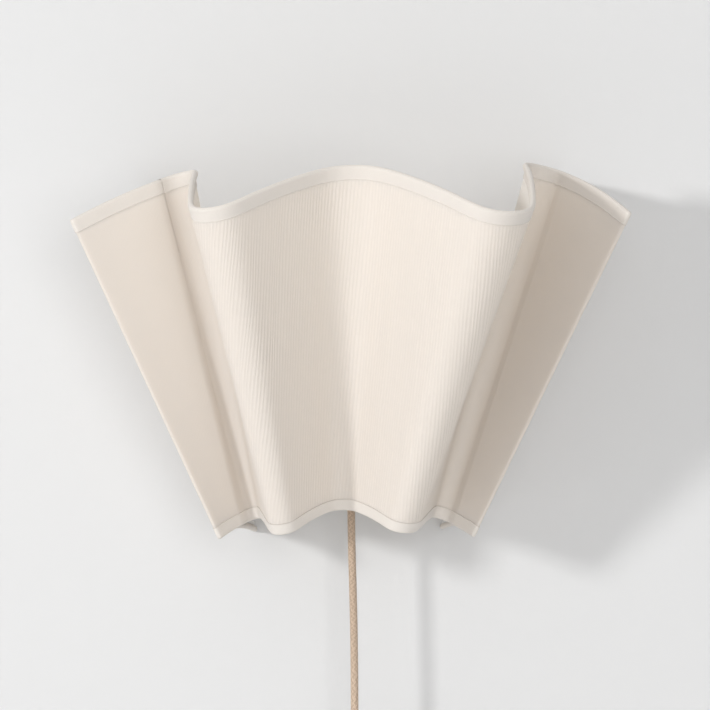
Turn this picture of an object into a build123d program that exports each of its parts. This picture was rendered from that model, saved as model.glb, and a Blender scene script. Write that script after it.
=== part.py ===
"""Wall light with a waved fabric shade, a plain lampholder behind it and a textile lead.

Millimetres, Z up. The wall is the plane Y = 0, the room lies towards -Y, X runs to the
right as seen from the room. The origin is the centre of the wall plate's back face.
"""

import os
from math import asin, cos, degrees, pi, radians, sin, sqrt, tan

from build123d import *

os.makedirs("parts", exist_ok=True)

# ---------------------------------------------------------------- driving dimensions
# Shade: cut from a flat ring sector, so its two rims lie on spheres about one apex.
APEX_DROP = 308.0            # apex below the origin
APEX_REACH = 62.5            # apex in front of the wall
APEX_SHIFT = -2.5            # apex beside the centre line
TOP_RIM_RADIUS = 556.0       # apex to the top rim
BOTTOM_RIM_RADIUS = 257.5    # apex to the bottom rim
TOP_CUT_SHIFT = 20.0         # the top rim climbs to the right: its cut is centred this far over
PLAN_MARGIN = 9.0            # the plans of the two waves lie this far clear of the rims
TOP_WIDTH = 504.0
TOP_DEPTH = 392.0
BOTTOM_WIDTH = 204.0
BOTTOM_DEPTH = 170.0
WALL_GAP = 1.5               # shade edge to wall

SHEET = 1.0                  # fabric bonded to a stiff film
TAPE = 0.5
RIM_WIRE = 2.4
LAYER_GAP = 0.35             # room between two layers
TOP_HEM = 11.0               # width of the turned-over tape
BOTTOM_HEM = 10.0
LEAST_RADIUS = 0.5
CHORDS = 6                   # facets to each rounding of the wave, an even number

# Wall plate and bracket
PLATE_WIDTH = 60.0
PLATE_HEIGHT = 100.0
PLATE_THICK = 2.5
PLATE_CORNER = 10.0
PLATE_EDGE = 1.0
SCREW_SPACING = 76.0
SCREW_HOLE = 4.5
BRACKET_WIDTH = 24.0
BRACKET_THICK = 3.0
BRACKET_DROP = 28.0
BRACKET_BEND = 4.0
RIVET = 4.0
RIVET_HEAD = 8.0
RIVET_HEAD_HIGH = 1.6
RIVET_SPACING = 12.0

# Lampholder, upright on the bracket
HOLDER_REACH = 60.0          # lampholder axis in front of the wall
NIPPLE = 10.0
NIPPLE_BORE = 7.4
NIPPLE_ABOVE = 11.0
NIPPLE_BELOW = 17.0
NUT_FLATS = 14.0
NUT_HIGH = 5.0
WASHER = 20.0
WASHER_THICK = 1.2
HOLDER = 38.0                # outer diameter of cap and shell
HOLDER_WALL = 2.4
CAP_HIGH = 24.0
CAP_FLOOR = 3.0
CAP_DOME = 9.0
SPIGOT_HIGH = 6.0            # the shell's lower end, inside the cap
SHELL_HIGH = 36.0
SHELL_WEB = 1.5              # floor of the shell, under the core
SPIGOT_WALL = 1.8
BOSS = 16.0
FLANGE = 47.0
FLANGE_HIGH = 4.0
GROOVE = 1.6                 # moulded grip grooves round the cap
GROOVE_COUNT = 24
GROOVE_START = 1.5           # over the dome
RING_OUT = 57.0              # clamping ring
RING_HIGH = 7.0
RING_NOTCH = 5.0
RING_NOTCHES = 12
CORE_HIGH = 15.0
CORE_PASSAGE = 4.0
CORE_PASSAGE_OUT = 9.0
SCREW_SHELL = 29.0
SCREW_SHELL_WALL = 0.5
SCREW_SHELL_HIGH = 19.0
CONTACT_WIDE = 6.0
CONTACT_LONG = 16.0
CONTACT_THICK = 0.6
CONTACT_RISE = 1.6
TERMINAL = 3.0
TERMINAL_LONG = 5.0
TERMINAL_HEAD = 5.2
TERMINAL_HEAD_HIGH = 2.0
TERMINAL_SPACING = 21.0
CONDUCTOR = 2.2
CONDUCTOR_BEND = 2.4
INLET_ABOVE = 2.0            # lead standing out of the nipple inside the cap
CLEAR = 0.2                  # between pieces that fit into each other

# Lamp
LAMP_CAP = 26.2
LAMP_CAP_HIGH = 23.0
LAMP_TIP = 9.0
LAMP_TIP_HIGH = 2.2
LAMP_SHOULDER = 5.0
LAMP_NECK = 48.0
LAMP_BODY_HIGH = 26.0
GLOBE = 60.0
GLOBE_HIGH = 62.0
GLOBE_WALL = 1.2

# Spider that carries the shade
SPIDER_RING = 46.0
SPIDER_WIRE = 2.4
ARM_RUN = 9.0                # level part of an arm, from the ring outwards
ARM_BEND = 5.0
ARM_SEAT = 1.4               # how far an arm runs into the rim wire

# Lead, switch and plug
CORD = 6.4
GRIP_LONG = 35.0
GRIP_COLLAR = 15.0
GRIP_COLLAR_HIGH = 10.0
GRIP_TIP = 9.6
CORD_SIDES = 6               # facets round the lead
LEAD_LONG = 196.0            # from the grip to the switch
LEAD_BOW = 2.6               # how far the hanging lead drifts to the right
LINK_LONG = 36.0             # from the switch to the coil
TAIL_LONG = 52.0             # from the coil to the plug
TAIL_BOW = 1.6
COIL_GAP = 0.7               # between turns
COIL_MEAN = 37.5             # mean radius of the turns
COIL_TURNS = 3               # turns spiralling in, and as many out again
TIE_WIDE = 9.0
TIE_THICK = 1.6
TIE_GAP = 0.8
SWITCH_LONG = 62.0
SWITCH_WIDE = 25.0
SWITCH_DEEP = 19.0
SWITCH_WALL = 2.0
SWITCH_END = 9.0             # solid ends round the lead
SWITCH_CORNER = 9.0
SWITCH_SOFT = 3.0
SWITCH_SCREW = 3.0
SWITCH_SCREW_HEAD = 5.4
SWITCH_SCREW_HEAD_HIGH = 2.2
SWITCH_SCREW_IN = 5.0        # how far a screw runs into the front half
SWITCH_SCREW_ACROSS = 15.0
SWITCH_SCREW_ALONG = 50.0
TERMINAL_BLOCK = 6.0
TERMINAL_BLOCK_HIGH = 4.5
TERMINAL_BLOCK_SPACING = 30.0
ROCKER_WIDE = 11.0
ROCKER_SWING = 9.5           # radius of the rocker's ends about its pin
ROCKER_PIN = 2.6
ROCKER_PIN_IN = 3.5          # pin behind the switch's face
ROCKER_TOP = 4.8             # height of the rocker's ends over its pin
ROCKER_DIP = 4.1
ROCKER_FOOT = 1.4
ROCKER_TILT = 8.0            # either way from level
ROCKER_GAP = 0.4
PIN_PLAY = 0.06
EAR = 3.4
EAR_DROP = 4.2
PLUG_WIDE = 35.3
PLUG_DEEP = 13.7
PLUG_LONG = 36.0
PLUG_SHOULDER = 20.0
PLUG_NECK = 17.0
PLUG_SOFT = 2.5
RELIEF_LONG = 26.0
RELIEF_TOP = 8.6
RELIEF_FOOT = 12.4
RELIEF_GROOVE = 1.6
RELIEF_GROOVES = 4
RELIEF_SKIN = 1.0            # lead to groove
PLUG_PIN = 4.0
PLUG_PIN_LONG = 19.0
PLUG_PIN_SPACING = 18.6

# ---------------------------------------------------------------- the wave in plan
# Corners of the wave, from the left wall edge to the right one: how far across, as a share
# of the half width, and how far out from the wall, as a share of the depth.
UPPER_WAVE = [(-0.750, None), (-1.022, 0.440), (-0.681, 0.375), (-0.506, 0.204), (-0.573, 0.871),
              (0.016, 0.566), (0.687, 1.003), (0.565, 0.202), (0.728, 0.374), (0.980, 0.543),
              (0.732, None)]
LOWER_WAVE = [(-0.770, None), (-1.044, 0.674), (-0.838, 0.518), (-0.711, 0.374), (-0.554, 1.003),
              (-0.083, 0.488), (0.392, 0.988), (0.627, 0.388), (0.755, 0.526), (0.951, 0.641),
              (0.721, None)]
UPPER_ROUNDING = [5.0, 37.0, 16.0, 26.0, 40.0, 32.0, 17.0, 37.0, 5.0]
LOWER_ROUNDING = [3.2, 16.0, 5.0, 11.5, 10.0, 13.0, 7.0, 16.0, 3.2]
CENTRE_VALLEY = 5            # places of the three valleys among the corners
LEFT_VALLEY = 3
RIGHT_VALLEY = 7

WIRE_OUT = SHEET + LAYER_GAP
WIRE_IN = WIRE_OUT + RIM_WIRE
HEM_OUT = -LAYER_GAP - TAPE
HEM_IN = WIRE_IN + LAYER_GAP + TAPE

APEX = Vector(APEX_SHIFT, -APEX_REACH, -APEX_DROP)
TOP_CENTRE = APEX + Vector(TOP_CUT_SHIFT, 0, 0)


def plan(wave, width, depth):
    """The corners of a wave in plan; its two ends stand just off the wall."""
    return [Vector(across * width / 2, -WALL_GAP if out is None else -out * depth) for across, out in wave]


def inward(first, second):
    """Unit normal of a stretch of the wave, on the side where the lamp is."""
    along = (second - first).normalized()
    return Vector(-along.Y, along.X)


def set_in(corners, distance):
    """The wave's corners moved inwards, each stretch by the same distance."""
    normals = [inward(a, b) for a, b in zip(corners, corners[1:])]
    moved = [corners[0] + Vector(distance / normals[0].X, 0)]
    for corner, before, after in zip(corners[1:], normals, normals[1:]):
        moved.append(corner + (before + after) * (distance / (1 + before.dot(after))))
    moved.append(corners[-1] + Vector(distance / normals[-1].X, 0))
    return moved


def rounding_in(corners, rounding, distance):
    """Radii of the moved corners: smaller where the wave turns inwards, larger where it turns out."""
    radii = []
    for before, corner, after, radius in zip(corners, corners[1:], corners[2:], rounding):
        side = (corner - before).cross(after - corner).Z
        radii.append(max(radius - distance if side > 0 else radius + distance, LEAST_RADIUS))
    return radii


def rounded(corners, radii):
    """The wave's line with each corner rounded, as points a facet apart along each rounding."""
    points = [corners[0]]
    for before, corner, after, radius in zip(corners, corners[1:], corners[2:], radii):
        back, on = (before - corner).normalized(), (after - corner).normalized()
        half = radians(back.get_angle(on)) / 2
        centre = corner + (back + on).normalized() * (radius / sin(half))
        first = corner + back * (radius / tan(half)) - centre
        last = corner + on * (radius / tan(half)) - centre
        span = pi - 2 * half
        for step in range(CHORDS + 1):
            swung = span * step / CHORDS
            points.append(centre + (first * sin(span - swung) + last * sin(swung)) * (1 / sin(span)))
    points.append(corners[-1])
    return points


def rim_rise(corner, centre, radius):
    """How far over its centre the sphere of a rim stands at a corner of the plan."""
    return sqrt(radius ** 2 - (corner.X - centre.X) ** 2 - (corner.Y - centre.Y) ** 2)


UPPER = plan(UPPER_WAVE, TOP_WIDTH, TOP_DEPTH)
LOWER = plan(LOWER_WAVE, BOTTOM_WIDTH, BOTTOM_DEPTH)
UPPER_LEVEL = APEX.Z + max(rim_rise(corner, TOP_CENTRE, TOP_RIM_RADIUS) for corner in UPPER) + PLAN_MARGIN
LOWER_LEVEL = APEX.Z + min(rim_rise(corner, APEX, BOTTOM_RIM_RADIUS) for corner in LOWER) - PLAN_MARGIN
LEVELS = [(LOWER_LEVEL, LOWER, LOWER_ROUNDING), (UPPER_LEVEL, UPPER, UPPER_ROUNDING)]


def band(outer, inner, low, high):
    """A layer of the shade between two depths, cut by a sphere (centre, radius) at each rim."""
    with BuildPart() as layer:
        for level, corners, rounding in LEVELS:
            with BuildSketch(Plane.XY.offset(level)):
                with BuildLine():
                    outside = rounded(set_in(corners, outer), rounding_in(corners, rounding, outer))
                    inside = rounded(set_in(corners, inner), rounding_in(corners, rounding, inner))
                    Polyline(*outside, *reversed(inside), close=True)
                make_face()
        loft(ruled=True)
        with Locations(high[0]):
            Sphere(high[1], mode=Mode.INTERSECT)
        with Locations(low[0]):
            Sphere(low[1], mode=Mode.SUBTRACT)
    return layer.part


def rim_seat(valley, radius):
    """Where an arm ends: on the bottom rim wire, at the middle of one of the wave's valleys."""
    ends = []
    for level, corners, rounding in LEVELS:
        depth = WIRE_IN - ARM_SEAT
        moved = set_in(corners, depth)
        curve = rounding_in(corners, rounding, depth)[valley - 1]
        corner = moved[valley]
        back = (moved[valley - 1] - corner).normalized()
        on = (moved[valley + 1] - corner).normalized()
        half = radians(back.get_angle(on)) / 2
        middle = corner + (back + on).normalized() * (curve / sin(half) - curve)
        ends.append(middle + Vector(0, 0, level))
    low, high = ends
    rule = high - low
    start = low - APEX
    a = rule.dot(rule)
    b = rule.dot(start)
    c = start.dot(start) - radius ** 2
    return low + rule * ((sqrt(b * b - a * c) - b) / a)


# ---------------------------------------------------------------- shade
TOP_CUT = (TOP_CENTRE, TOP_RIM_RADIUS)
BOTTOM_CUT = (APEX, BOTTOM_RIM_RADIUS)
HEM_LAP = LAYER_GAP + TAPE
WIRE_LOW = BOTTOM_RIM_RADIUS + LAYER_GAP
WIRE_HIGH = TOP_RIM_RADIUS - LAYER_GAP

with BuildPart() as shade_fabric:
    add(band(0, SHEET, BOTTOM_CUT, TOP_CUT))

with BuildPart() as top_rim_wire:
    add(band(WIRE_OUT, WIRE_IN, (TOP_CENTRE, WIRE_HIGH - RIM_WIRE), (TOP_CENTRE, WIRE_HIGH)))

with BuildPart() as top_hem:
    add(band(HEM_OUT, HEM_IN, (TOP_CENTRE, TOP_RIM_RADIUS - TOP_HEM), (TOP_CENTRE, TOP_RIM_RADIUS + HEM_LAP)))
    add(band(HEM_OUT + TAPE, HEM_IN - TAPE, (TOP_CENTRE, TOP_RIM_RADIUS - 2 * TOP_HEM),
             (TOP_CENTRE, TOP_RIM_RADIUS + LAYER_GAP)), mode=Mode.SUBTRACT)

HOLDER_AXIS = Plane((0, -HOLDER_REACH, 0))
SEAT_LEVEL = CAP_HIGH + FLANGE_HIGH + CLEAR
RING_LEVEL = SEAT_LEVEL + SPIDER_WIRE + CLEAR
HOLDER_POINT = Vector(0, -HOLDER_REACH, SEAT_LEVEL + SPIDER_WIRE / 2)
ARM_SEATS = [rim_seat(valley, WIRE_LOW + RIM_WIRE / 2) for valley in (LEFT_VALLEY, CENTRE_VALLEY, RIGHT_VALLEY)]


def arm(seat, diameter):
    """A wire arm: level out of the ring, then bent straight to its seat on the rim wire."""
    away = Vector(seat.X - HOLDER_POINT.X, seat.Y - HOLDER_POINT.Y).normalized()
    start = HOLDER_POINT + away * (SPIDER_RING / 2 - SPIDER_WIRE / 2)
    with BuildPart() as wire:
        with BuildLine():
            route = FilletPolyline(start, start + away * ARM_RUN, seat, radius=ARM_BEND)
        with BuildSketch(Plane(route @ 0, z_dir=route % 0)):
            Circle(diameter / 2)
        sweep(path=route)
    return wire.part


with BuildPart() as spider:
    add(band(WIRE_OUT, WIRE_IN, (APEX, WIRE_LOW), (APEX, WIRE_LOW + RIM_WIRE)))
    with BuildSketch(HOLDER_AXIS.offset(SEAT_LEVEL)):
        Circle(SPIDER_RING / 2)
        Circle(HOLDER / 2 + CLEAR, mode=Mode.SUBTRACT)
    extrude(amount=SPIDER_WIRE)
    for seat in ARM_SEATS:
        add(arm(seat, SPIDER_WIRE))

with BuildPart() as bottom_hem:
    add(band(HEM_OUT, HEM_IN, (APEX, BOTTOM_RIM_RADIUS - HEM_LAP), (APEX, BOTTOM_RIM_RADIUS + BOTTOM_HEM)))
    add(band(HEM_OUT + TAPE, HEM_IN - TAPE, (APEX, BOTTOM_RIM_RADIUS - LAYER_GAP),
             (APEX, BOTTOM_RIM_RADIUS + 2 * BOTTOM_HEM)), mode=Mode.SUBTRACT)
    for seat in ARM_SEATS:
        add(arm(seat, SPIDER_WIRE + 2 * LAYER_GAP), mode=Mode.SUBTRACT)


# ---------------------------------------------------------------- wall plate and bracket
BRACKET_FRONT = PLATE_THICK + BRACKET_THICK
RIVET_LEVEL = -BRACKET_THICK - BRACKET_DROP / 2
RIVET_PLACES = [(0, RIVET_LEVEL + RIVET_SPACING / 2), (0, RIVET_LEVEL - RIVET_SPACING / 2)]
SCREW_PLACES = [(0, SCREW_SPACING / 2), (0, -SCREW_SPACING / 2)]

with BuildPart() as wall_plate:
    with BuildSketch(Plane.XZ):
        RectangleRounded(PLATE_WIDTH, PLATE_HEIGHT, PLATE_CORNER)
        with Locations(*SCREW_PLACES):
            Circle(SCREW_HOLE / 2, mode=Mode.SUBTRACT)
        with Locations(*RIVET_PLACES):
            Circle(RIVET / 2, mode=Mode.SUBTRACT)
    extrude(amount=PLATE_THICK)
    chamfer(wall_plate.faces().sort_by(Axis.Y)[0].outer_wire().edges(), PLATE_EDGE)

# A strip bent to an L, its level leg under the lampholder.
with BuildPart() as bracket:
    with BuildSketch(Plane.YZ) as strip:
        with BuildLine():
            reach = HOLDER_REACH + BRACKET_WIDTH / 2
            Polyline((-PLATE_THICK, 0), (-reach, 0), (-reach, -BRACKET_THICK), (-BRACKET_FRONT, -BRACKET_THICK),
                     (-BRACKET_FRONT, -BRACKET_THICK - BRACKET_DROP),
                     (-PLATE_THICK, -BRACKET_THICK - BRACKET_DROP), close=True)
        make_face()
        fillet(strip.vertices().sort_by_distance((-PLATE_THICK, 0))[0], BRACKET_BEND)
        fillet(strip.vertices().sort_by_distance((-BRACKET_FRONT, -BRACKET_THICK))[0], BRACKET_BEND - BRACKET_THICK)
    extrude(amount=BRACKET_WIDTH / 2, both=True)
    fillet(bracket.edges().filter_by(Axis.Z).group_by(Axis.Y)[0], BRACKET_WIDTH / 2 - CLEAR)
    fillet(bracket.edges().filter_by(Axis.Y).group_by(Axis.Z)[0], BRACKET_THICK)
    with BuildSketch(HOLDER_AXIS):
        Circle(NIPPLE / 2 + CLEAR)
    extrude(amount=-BRACKET_THICK, mode=Mode.SUBTRACT)
    with BuildSketch(Plane.XZ):
        with Locations(*RIVET_PLACES):
            Circle(RIVET / 2)
    extrude(amount=BRACKET_FRONT, mode=Mode.SUBTRACT)

with BuildPart() as bracket_rivets:
    with BuildSketch(Plane.XZ):
        with Locations(*RIVET_PLACES):
            Circle(RIVET / 2)
    extrude(amount=BRACKET_FRONT)
    with BuildSketch(Plane.XZ.offset(BRACKET_FRONT)):
        with Locations(*RIVET_PLACES):
            Circle(RIVET_HEAD / 2)
    extrude(amount=RIVET_HEAD_HIGH)
    chamfer(bracket_rivets.faces().group_by(Axis.Y)[0].edges(), RIVET_HEAD_HIGH / 2)

# ---------------------------------------------------------------- lampholder
HOLDER_SECTION = Plane((0, -HOLDER_REACH, 0), x_dir=(1, 0, 0), z_dir=(0, -1, 0))
HOLDER_LINE = Axis((0, -HOLDER_REACH, 0), (0, 0, 1))
SHELL_BORE = HOLDER - 2 * HOLDER_WALL
SPIGOT = SHELL_BORE - 2 * CLEAR
SHELL_TOP = CAP_HIGH + SHELL_HIGH
CORE_LEVEL = CAP_HIGH + SHELL_WEB
CORE_TOP = CORE_LEVEL + CORE_HIGH
WASHER_LEVEL = -BRACKET_THICK - WASHER_THICK
NUT_LEVEL = WASHER_LEVEL - NUT_HIGH
GRIP_LEVEL = NUT_LEVEL - CLEAR
EXIT_LEVEL = GRIP_LEVEL - GRIP_LONG


def quarter(centre, radius, first, last):
    """Points a facet apart on an arc in a turned section, from one angle to another in degrees."""
    angles = [radians(first + (last - first) * step / CHORDS) for step in range(CHORDS + 1)]
    return [(centre[0] + radius * cos(angle), centre[1] + radius * sin(angle)) for angle in angles]


def turned(points):
    """A turned piece on the lampholder's axis: (radius, height) points round the section."""
    with BuildPart() as piece:
        with BuildSketch(HOLDER_SECTION):
            with BuildLine():
                Polyline(*points, close=True)
            make_face()
        revolve(axis=HOLDER_LINE)
    return piece.part


with BuildPart() as holder_nipple:
    add(turned([(NIPPLE_BORE / 2, -NIPPLE_BELOW), (NIPPLE / 2, -NIPPLE_BELOW), (NIPPLE / 2, NIPPLE_ABOVE),
                (NIPPLE_BORE / 2, NIPPLE_ABOVE)]))

with BuildPart() as nipple_washer:
    with BuildSketch(HOLDER_AXIS.offset(WASHER_LEVEL)):
        Circle(WASHER / 2)
        Circle(NIPPLE / 2 + CLEAR, mode=Mode.SUBTRACT)
    extrude(amount=WASHER_THICK)

with BuildPart() as nipple_nut:
    with BuildSketch(HOLDER_AXIS.offset(NUT_LEVEL)):
        RegularPolygon(NUT_FLATS / 2, 6, major_radius=False)
        Circle(NIPPLE / 2, mode=Mode.SUBTRACT)
    extrude(amount=NUT_HIGH)

with BuildPart() as holder_cap:
    with BuildSketch(HOLDER_SECTION) as section:
        with BuildLine():
            dome = quarter((HOLDER / 2 - CAP_DOME, CAP_DOME), CAP_DOME, -90, 0)
            Polyline((NIPPLE / 2, 0), *dome, (HOLDER / 2, CAP_HIGH), (SHELL_BORE / 2, CAP_HIGH),
                     (SHELL_BORE / 2, CAP_FLOOR), (BOSS / 2, CAP_FLOOR), (BOSS / 2, NIPPLE_ABOVE),
                     (NIPPLE / 2, NIPPLE_ABOVE), close=True)
        make_face()
        chamfer(section.vertices().sort_by_distance((SHELL_BORE / 2, CAP_FLOOR))[0], CAP_DOME - HOLDER_WALL)
    revolve(axis=HOLDER_LINE)
    with BuildSketch(HOLDER_AXIS.offset(CAP_DOME + GROOVE_START)):
        with PolarLocations(HOLDER / 2 + GROOVE / 4, GROOVE_COUNT):
            Rectangle(GROOVE, GROOVE)
    extrude(amount=CAP_HIGH - CAP_DOME - GROOVE_START, mode=Mode.SUBTRACT)

with BuildPart() as holder_shell:
    add(turned([(SPIGOT / 2 - SPIGOT_WALL, CAP_HIGH - SPIGOT_HIGH), (SPIGOT / 2, CAP_HIGH - SPIGOT_HIGH),
                (SPIGOT / 2, CAP_HIGH), (FLANGE / 2, CAP_HIGH), (FLANGE / 2, CAP_HIGH + FLANGE_HIGH),
                (HOLDER / 2, CAP_HIGH + FLANGE_HIGH), (HOLDER / 2, SHELL_TOP), (SHELL_BORE / 2, SHELL_TOP),
                (SHELL_BORE / 2, CORE_LEVEL), (SPIGOT / 2 - SPIGOT_WALL, CORE_LEVEL)]))
    chamfer(holder_shell.edges().filter_by(GeomType.CIRCLE).group_by(Axis.Z)[-1], HOLDER_WALL / 3)

with BuildPart() as clamping_ring:
    with BuildSketch(HOLDER_AXIS.offset(RING_LEVEL)):
        Circle(RING_OUT / 2)
        Circle(HOLDER / 2 + CLEAR, mode=Mode.SUBTRACT)
        with PolarLocations(RING_OUT / 2 + RING_NOTCH / 4, RING_NOTCHES):
            Circle(RING_NOTCH / 2, mode=Mode.SUBTRACT)
    extrude(amount=RING_HIGH)

with BuildPart() as holder_core:
    with BuildSketch(HOLDER_AXIS.offset(CORE_LEVEL)):
        Circle(SHELL_BORE / 2 - CLEAR)
        with Locations((TERMINAL_SPACING / 2, 0), (-TERMINAL_SPACING / 2, 0)):
            Circle(TERMINAL / 2, mode=Mode.SUBTRACT)
        with Locations((0, CORE_PASSAGE_OUT), (0, -CORE_PASSAGE_OUT)):
            Circle(CORE_PASSAGE / 2, mode=Mode.SUBTRACT)
    extrude(amount=CORE_HIGH)

with BuildPart() as terminal_screws:
    for side in (-1, 1):
        with BuildSketch(HOLDER_AXIS.offset(CORE_LEVEL)):
            with Locations((side * TERMINAL_SPACING / 2, 0)):
                Circle(TERMINAL / 2)
        extrude(amount=TERMINAL_LONG)
        with BuildSketch(HOLDER_AXIS.offset(CORE_LEVEL - TERMINAL_HEAD_HIGH)):
            with Locations((side * TERMINAL_SPACING / 2, 0)):
                Circle(TERMINAL_HEAD / 2)
        extrude(amount=TERMINAL_HEAD_HIGH)

with BuildPart() as screw_shell:
    with BuildSketch(HOLDER_AXIS.offset(CORE_TOP)):
        Circle(SCREW_SHELL / 2)
        Circle(SCREW_SHELL / 2 - SCREW_SHELL_WALL, mode=Mode.SUBTRACT)
    extrude(amount=SCREW_SHELL_HIGH)

with BuildPart() as centre_contact:
    with BuildSketch(HOLDER_SECTION):
        with BuildLine():
            foot = -CONTACT_LONG / 2
            knee = foot + CONTACT_LONG / 3
            Polyline((foot, CORE_TOP), (knee, CORE_TOP), (knee + CONTACT_RISE, CORE_TOP + CONTACT_RISE),
                     (CONTACT_LONG / 4, CORE_TOP + CONTACT_RISE),
                     (CONTACT_LONG / 4, CORE_TOP + CONTACT_RISE + CONTACT_THICK),
                     (knee + CONTACT_RISE, CORE_TOP + CONTACT_RISE + CONTACT_THICK),
                     (knee, CORE_TOP + CONTACT_THICK), (foot, CORE_TOP + CONTACT_THICK), close=True)
        make_face()
    extrude(amount=CONTACT_WIDE / 2, both=True)

# ---------------------------------------------------------------- lamp
TIP_LEVEL = CORE_TOP + CONTACT_RISE + CONTACT_THICK
NECK_LEVEL = TIP_LEVEL + LAMP_CAP_HIGH
GLOBE_LEVEL = NECK_LEVEL + LAMP_BODY_HIGH


def globe(inset):
    """The bulb's globe, from its neck over its widest place to its crown, at a depth below its skin."""
    waist = GLOBE_LEVEL + GLOBE_HIGH - GLOBE / 2
    step_in = (GLOBE - LAMP_NECK) / 2
    flank = ((waist - GLOBE_LEVEL) ** 2 + step_in ** 2) / (2 * step_in)
    swing = degrees(asin((waist - GLOBE_LEVEL) / flank))
    lower = quarter((GLOBE / 2 - flank, waist), flank - inset, -swing, 0)
    upper = quarter((0, waist), GLOBE / 2 - inset, 0, 90)
    return turned([(0, lower[0][1]), *lower[:-1], *upper])


with BuildPart() as lamp_cap:
    add(turned([(0, TIP_LEVEL), (LAMP_TIP / 2, TIP_LEVEL), (LAMP_TIP / 2, TIP_LEVEL + LAMP_TIP_HIGH),
                (LAMP_CAP / 2, TIP_LEVEL + LAMP_SHOULDER), (LAMP_CAP / 2, NECK_LEVEL), (0, NECK_LEVEL)]))

with BuildPart() as lamp_body:
    add(turned([(0, NECK_LEVEL), (LAMP_CAP / 2 + CLEAR, NECK_LEVEL), (LAMP_NECK / 2, GLOBE_LEVEL),
                (0, GLOBE_LEVEL)]))

with BuildPart() as lamp_globe:
    add(globe(0))
    add(globe(GLOBE_WALL), mode=Mode.SUBTRACT)

# ---------------------------------------------------------------- lead
LEAD_TOP = Vector(0, -HOLDER_REACH, EXIT_LEVEL)


def corner_radii(points):
    """Radius of each bend of a route: as large as its two runs allow."""
    radii = []
    for before, corner, after in zip(points, points[1:], points[2:]):
        first, second = corner - before, after - corner
        half_turn = radians(first.get_angle(second)) / 2
        radii.append(0.45 * min(first.length, second.length) * cos(half_turn) / sin(half_turn))
    return radii


def lead_tube(name, points):
    """A round lead along straight runs and tangent arcs; its bends and volume are printed."""
    radii = corner_radii(points)
    with BuildPart() as tube:
        with BuildLine() as line:
            FilletPolyline(*points, radius=radii)
        path = line.wire()
        with BuildSketch(Plane(path @ 0, z_dir=path % 0)) as section:
            RegularPolygon(CORD / 2, CORD_SIDES)
        sweep(path=path)
    filled = tube.part.volume / (section.sketch.area * path.length)
    print(f"{name}: {path.length:.1f} long, radii {[round(r) for r in radii]}, volume share {filled:.4f}")
    return tube.part


LEAD_STEPS = [(0, 0), (0, 30), (0.65, 88), (1, 146), (1, LEAD_LONG)]
LEAD_ROUTE = [LEAD_TOP + Vector(LEAD_BOW * share, 0, -drop) for share, drop in LEAD_STEPS]

with BuildPart() as cord_grip:
    add(turned([(CORD / 2 + CLEAR, EXIT_LEVEL), (GRIP_TIP / 2, EXIT_LEVEL),
                (GRIP_COLLAR / 2, GRIP_LEVEL - GRIP_COLLAR_HIGH), (GRIP_COLLAR / 2, GRIP_LEVEL),
                (NIPPLE / 2, GRIP_LEVEL), (NIPPLE / 2, -NIPPLE_BELOW - CLEAR),
                (CORD / 2 + CLEAR, -NIPPLE_BELOW - CLEAR)]))

with BuildPart() as cord_inlet:
    with BuildSketch(HOLDER_AXIS.offset(EXIT_LEVEL)):
        RegularPolygon(CORD / 2, CORD_SIDES)
    extrude(amount=NIPPLE_ABOVE + INLET_ABOVE - EXIT_LEVEL)

with BuildPart() as conductors:
    for side in (-1, 1):
        inner = side * CORD / 4
        outer = side * TERMINAL_SPACING / 2
        start = NIPPLE_ABOVE + INLET_ABOVE
        end = CORE_LEVEL - TERMINAL_HEAD_HIGH
        with BuildLine() as strand:
            FilletPolyline((inner, -HOLDER_REACH, start), (inner, -HOLDER_REACH, start + CONDUCTOR_BEND + 1),
                           (outer, -HOLDER_REACH, end - CONDUCTOR_BEND - 1), (outer, -HOLDER_REACH, end),
                           radius=CONDUCTOR_BEND)
        with BuildSketch(Plane(strand.wire() @ 0, z_dir=(0, 0, 1))):
            RegularPolygon(CONDUCTOR / 2, CORD_SIDES)
        sweep(path=strand.wire())

with BuildPart() as cord_lead:
    add(lead_tube("cord_lead", LEAD_ROUTE))

# ---------------------------------------------------------------- switch in the lead
SWITCH_TOP = LEAD_ROUTE[-1]
SWITCH_PLANE = Plane(SWITCH_TOP - Vector(0, 0, SWITCH_LONG / 2), x_dir=(1, 0, 0), z_dir=(0, -1, 0))
HALF_DEEP = SWITCH_DEEP / 2
FACE_IN = HALF_DEEP - SWITCH_WALL
PIN_LEVEL = HALF_DEEP - ROCKER_PIN_IN
WINDOW_WIDE = ROCKER_WIDE + 2 * ROCKER_GAP
EAR_MIDDLE = WINDOW_WIDE / 2 + EAR / 2
SWITCH_SCREWS = [(-SWITCH_SCREW_ACROSS / 2, SWITCH_SCREW_ALONG / 2), (SWITCH_SCREW_ACROSS / 2, -SWITCH_SCREW_ALONG / 2)]
PIN_CENTRE = SWITCH_PLANE.from_local_coords(Vector(0, 0, PIN_LEVEL))
PIN_PLANE = Plane(PIN_CENTRE, x_dir=(0, 0, 1), z_dir=(1, 0, 0))


def switch_half(depth):
    """One half of the switch's casing; a positive depth is the front one."""
    forward = 1 if depth > 0 else -1
    with BuildPart() as half:
        with BuildSketch(SWITCH_PLANE):
            RectangleRounded(SWITCH_WIDE, SWITCH_LONG, SWITCH_CORNER)
        extrude(amount=depth)
        rim = half.faces().sort_by(Axis.Y)[0 if forward > 0 else -1].outer_wire().edges()
        if forward > 0:
            fillet(rim, SWITCH_SOFT)
        else:
            chamfer(rim, SWITCH_SOFT / 2)
        with BuildSketch(SWITCH_PLANE):
            RectangleRounded(SWITCH_WIDE - 2 * SWITCH_WALL, SWITCH_LONG - 2 * SWITCH_END, SWITCH_SOFT)
        extrude(amount=depth - forward * SWITCH_WALL, mode=Mode.SUBTRACT)
    return half.part


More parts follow.
